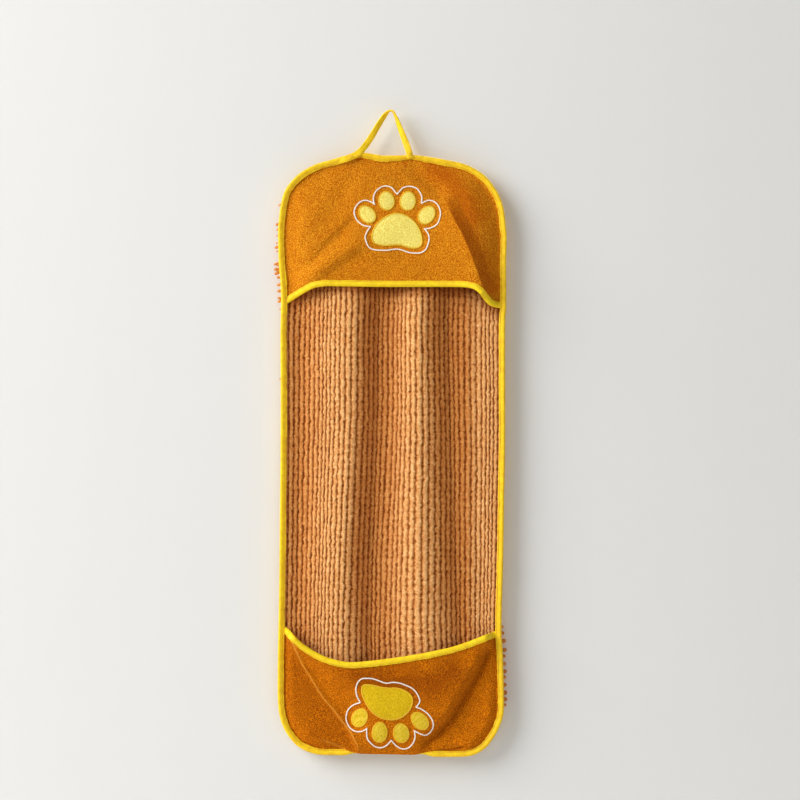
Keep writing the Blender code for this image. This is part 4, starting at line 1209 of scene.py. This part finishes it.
pile = Pile()
for k in range(int((LOOP_ROUTE.length - 6) / 3.2)):
    s = 3 + k * 3.2 + np.linspace(0.3, 2.9, 4)
    p, wide, thick, along, front, edge_on = loop_frame(s)
    for lane in (-0.56, 0.56):
        for face in (-1, 1):
            bow = np.array([-0.22, 0.08, 0.08, -0.22])
            offset = (thick * (face * ((1.20 + 0.2 * edge_on) * (1 - 0.25 * front) + bow))[:, None]
                      + wide * lane * LOOP_HALF)
            tube(pile, p + offset, [0.22, 0.3, 0.3, 0.22], 5)
loop_stitches = ride(pile.made("hanging_loop_stitches"), YELLOW_THREAD, "thread", blend="foot")

tacks = Pile()
for target in ((-60.0, -67.5), (28.3, -66.0)):
    s0 = LOOP_ROUTE.nearest(target)
    for k in range(9):                                       # a bar tack: close zigzag across the foot
        s = np.full(5, s0 + (k - 4) * 0.62)
        p, wide, thick, along, front, edge_on = loop_frame(s)
        lane = np.linspace(-4.2, 4.2, 5) * (1 if k % 2 else -1)
        slant = np.linspace(-0.3, 0.3, 5)
        bow = np.array([0.7, 1.35, 1.5, 1.35, 0.7])
        y = np.array([0.0, -1.0, 0.0])
        tube(tacks, p + wide * lane[:, None] + along * slant[:, None] + y * bow[:, None],
             [0.25, 0.36, 0.38, 0.36, 0.25], 6)
tack_piece = ride(tacks.made("hanging_loop_bar_tacks"), TACK_THREAD, "thread", blend="foot")
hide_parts("loop_tack_left", "loop_tack_right")

# ---------------------------------------------------------------- wall, floor, light and camera
def plane(name, corners):
    mesh = bpy.data.meshes.new(name)
    mesh.from_pydata(corners, [], [(0, 1, 2, 3)])
    obj = bpy.data.objects.new(name, mesh)
    bpy.context.scene.collection.objects.link(obj)
    return obj


def plaster(name, colour):
    material = bpy.data.materials.new(name)
    material.use_nodes = True
    tree = material.node_tree
    shader = tree.nodes["Principled BSDF"]
    shader.inputs["Base Color"].default_value = colour
    shader.inputs["Roughness"].default_value = 0.9
    shader.inputs["Specular IOR Level"].default_value = 0.1
    clear = tree.nodes.new("ShaderNodeBsdfTransparent")
    either = tree.nodes.new("ShaderNodeMixShader")
    side = tree.nodes.new("ShaderNodeNewGeometry")
    tree.links.new(side.outputs["Backfacing"], either.inputs["Fac"])
    tree.links.new(shader.outputs["BSDF"], either.inputs[1])
    tree.links.new(clear.outputs["BSDF"], either.inputs[2])
    tree.links.new(either.outputs["Shader"], tree.nodes["Material Output"].inputs["Surface"])
    return material


WALL_Y, FLOOR_Z = 0.0205, -1.40
wall = plane("wall", [(-2.6, WALL_Y, FLOOR_Z), (2.6, WALL_Y, FLOOR_Z), (2.6, WALL_Y, 1.4), (-2.6, WALL_Y, 1.4)])
floor = plane("floor", [(-2.6, -5.0, FLOOR_Z), (2.6, -5.0, FLOOR_Z), (2.6, 3.0, FLOOR_Z), (-2.6, 3.0, FLOOR_Z)])
wall.data.materials.append(plaster("wall_plaster", srgb(222, 222, 221)))
floor.data.materials.append(plaster("floor_plaster", srgb(224, 223, 220)))
wall.visible_shadow = False


def lamp(name, at, aim, size, power, colour):
    data = bpy.data.lights.new(name, "AREA")
    data.shape, data.size, data.energy, data.color = "DISK", size, power, colour
    obj = bpy.data.objects.new(name, data)
    obj.location = at
    obj.rotation_euler = (Vector(aim) - Vector(at)).to_track_quat("-Z", "Y").to_euler()
    bpy.context.scene.collection.objects.link(obj)
    return obj


lamp("window", (-4.1, -2.30, 2.0), (0.0, 0.0, -0.45), 4.2, 369, (1.0, 0.992, 0.975))
lamp("soft_fill", (0.6, -3.4, 0.5), (0.0, 0.0, -0.5), 2.4, 9.5, (0.98, 0.99, 1.0))
lamp("rear_fill", (0.9, 2.6, 0.9), (0.0, 0.0, -0.5), 1.8, 78, (1.0, 0.99, 0.97))

world = bpy.data.worlds.new("studio")
bpy.context.scene.world = world
world.use_nodes = True
world.node_tree.nodes["Background"].inputs["Color"].default_value = (0.95, 0.95, 0.95, 1.0)
world.node_tree.nodes["Background"].inputs["Strength"].default_value = 0.28

camera = bpy.data.objects.new("camera", bpy.data.cameras.new("camera"))
bpy.context.scene.collection.objects.link(camera)
camera.data.lens, camera.data.sensor_width = 90.0, 36.0
camera.location = (0.0135, -3.0, -0.4335)
camera.rotation_euler = (math.pi / 2, 0.0, 0.0)
bpy.context.scene.camera = camera
bpy.context.scene.view_settings.view_transform = "Standard"

bpy.context.view_layer.update()
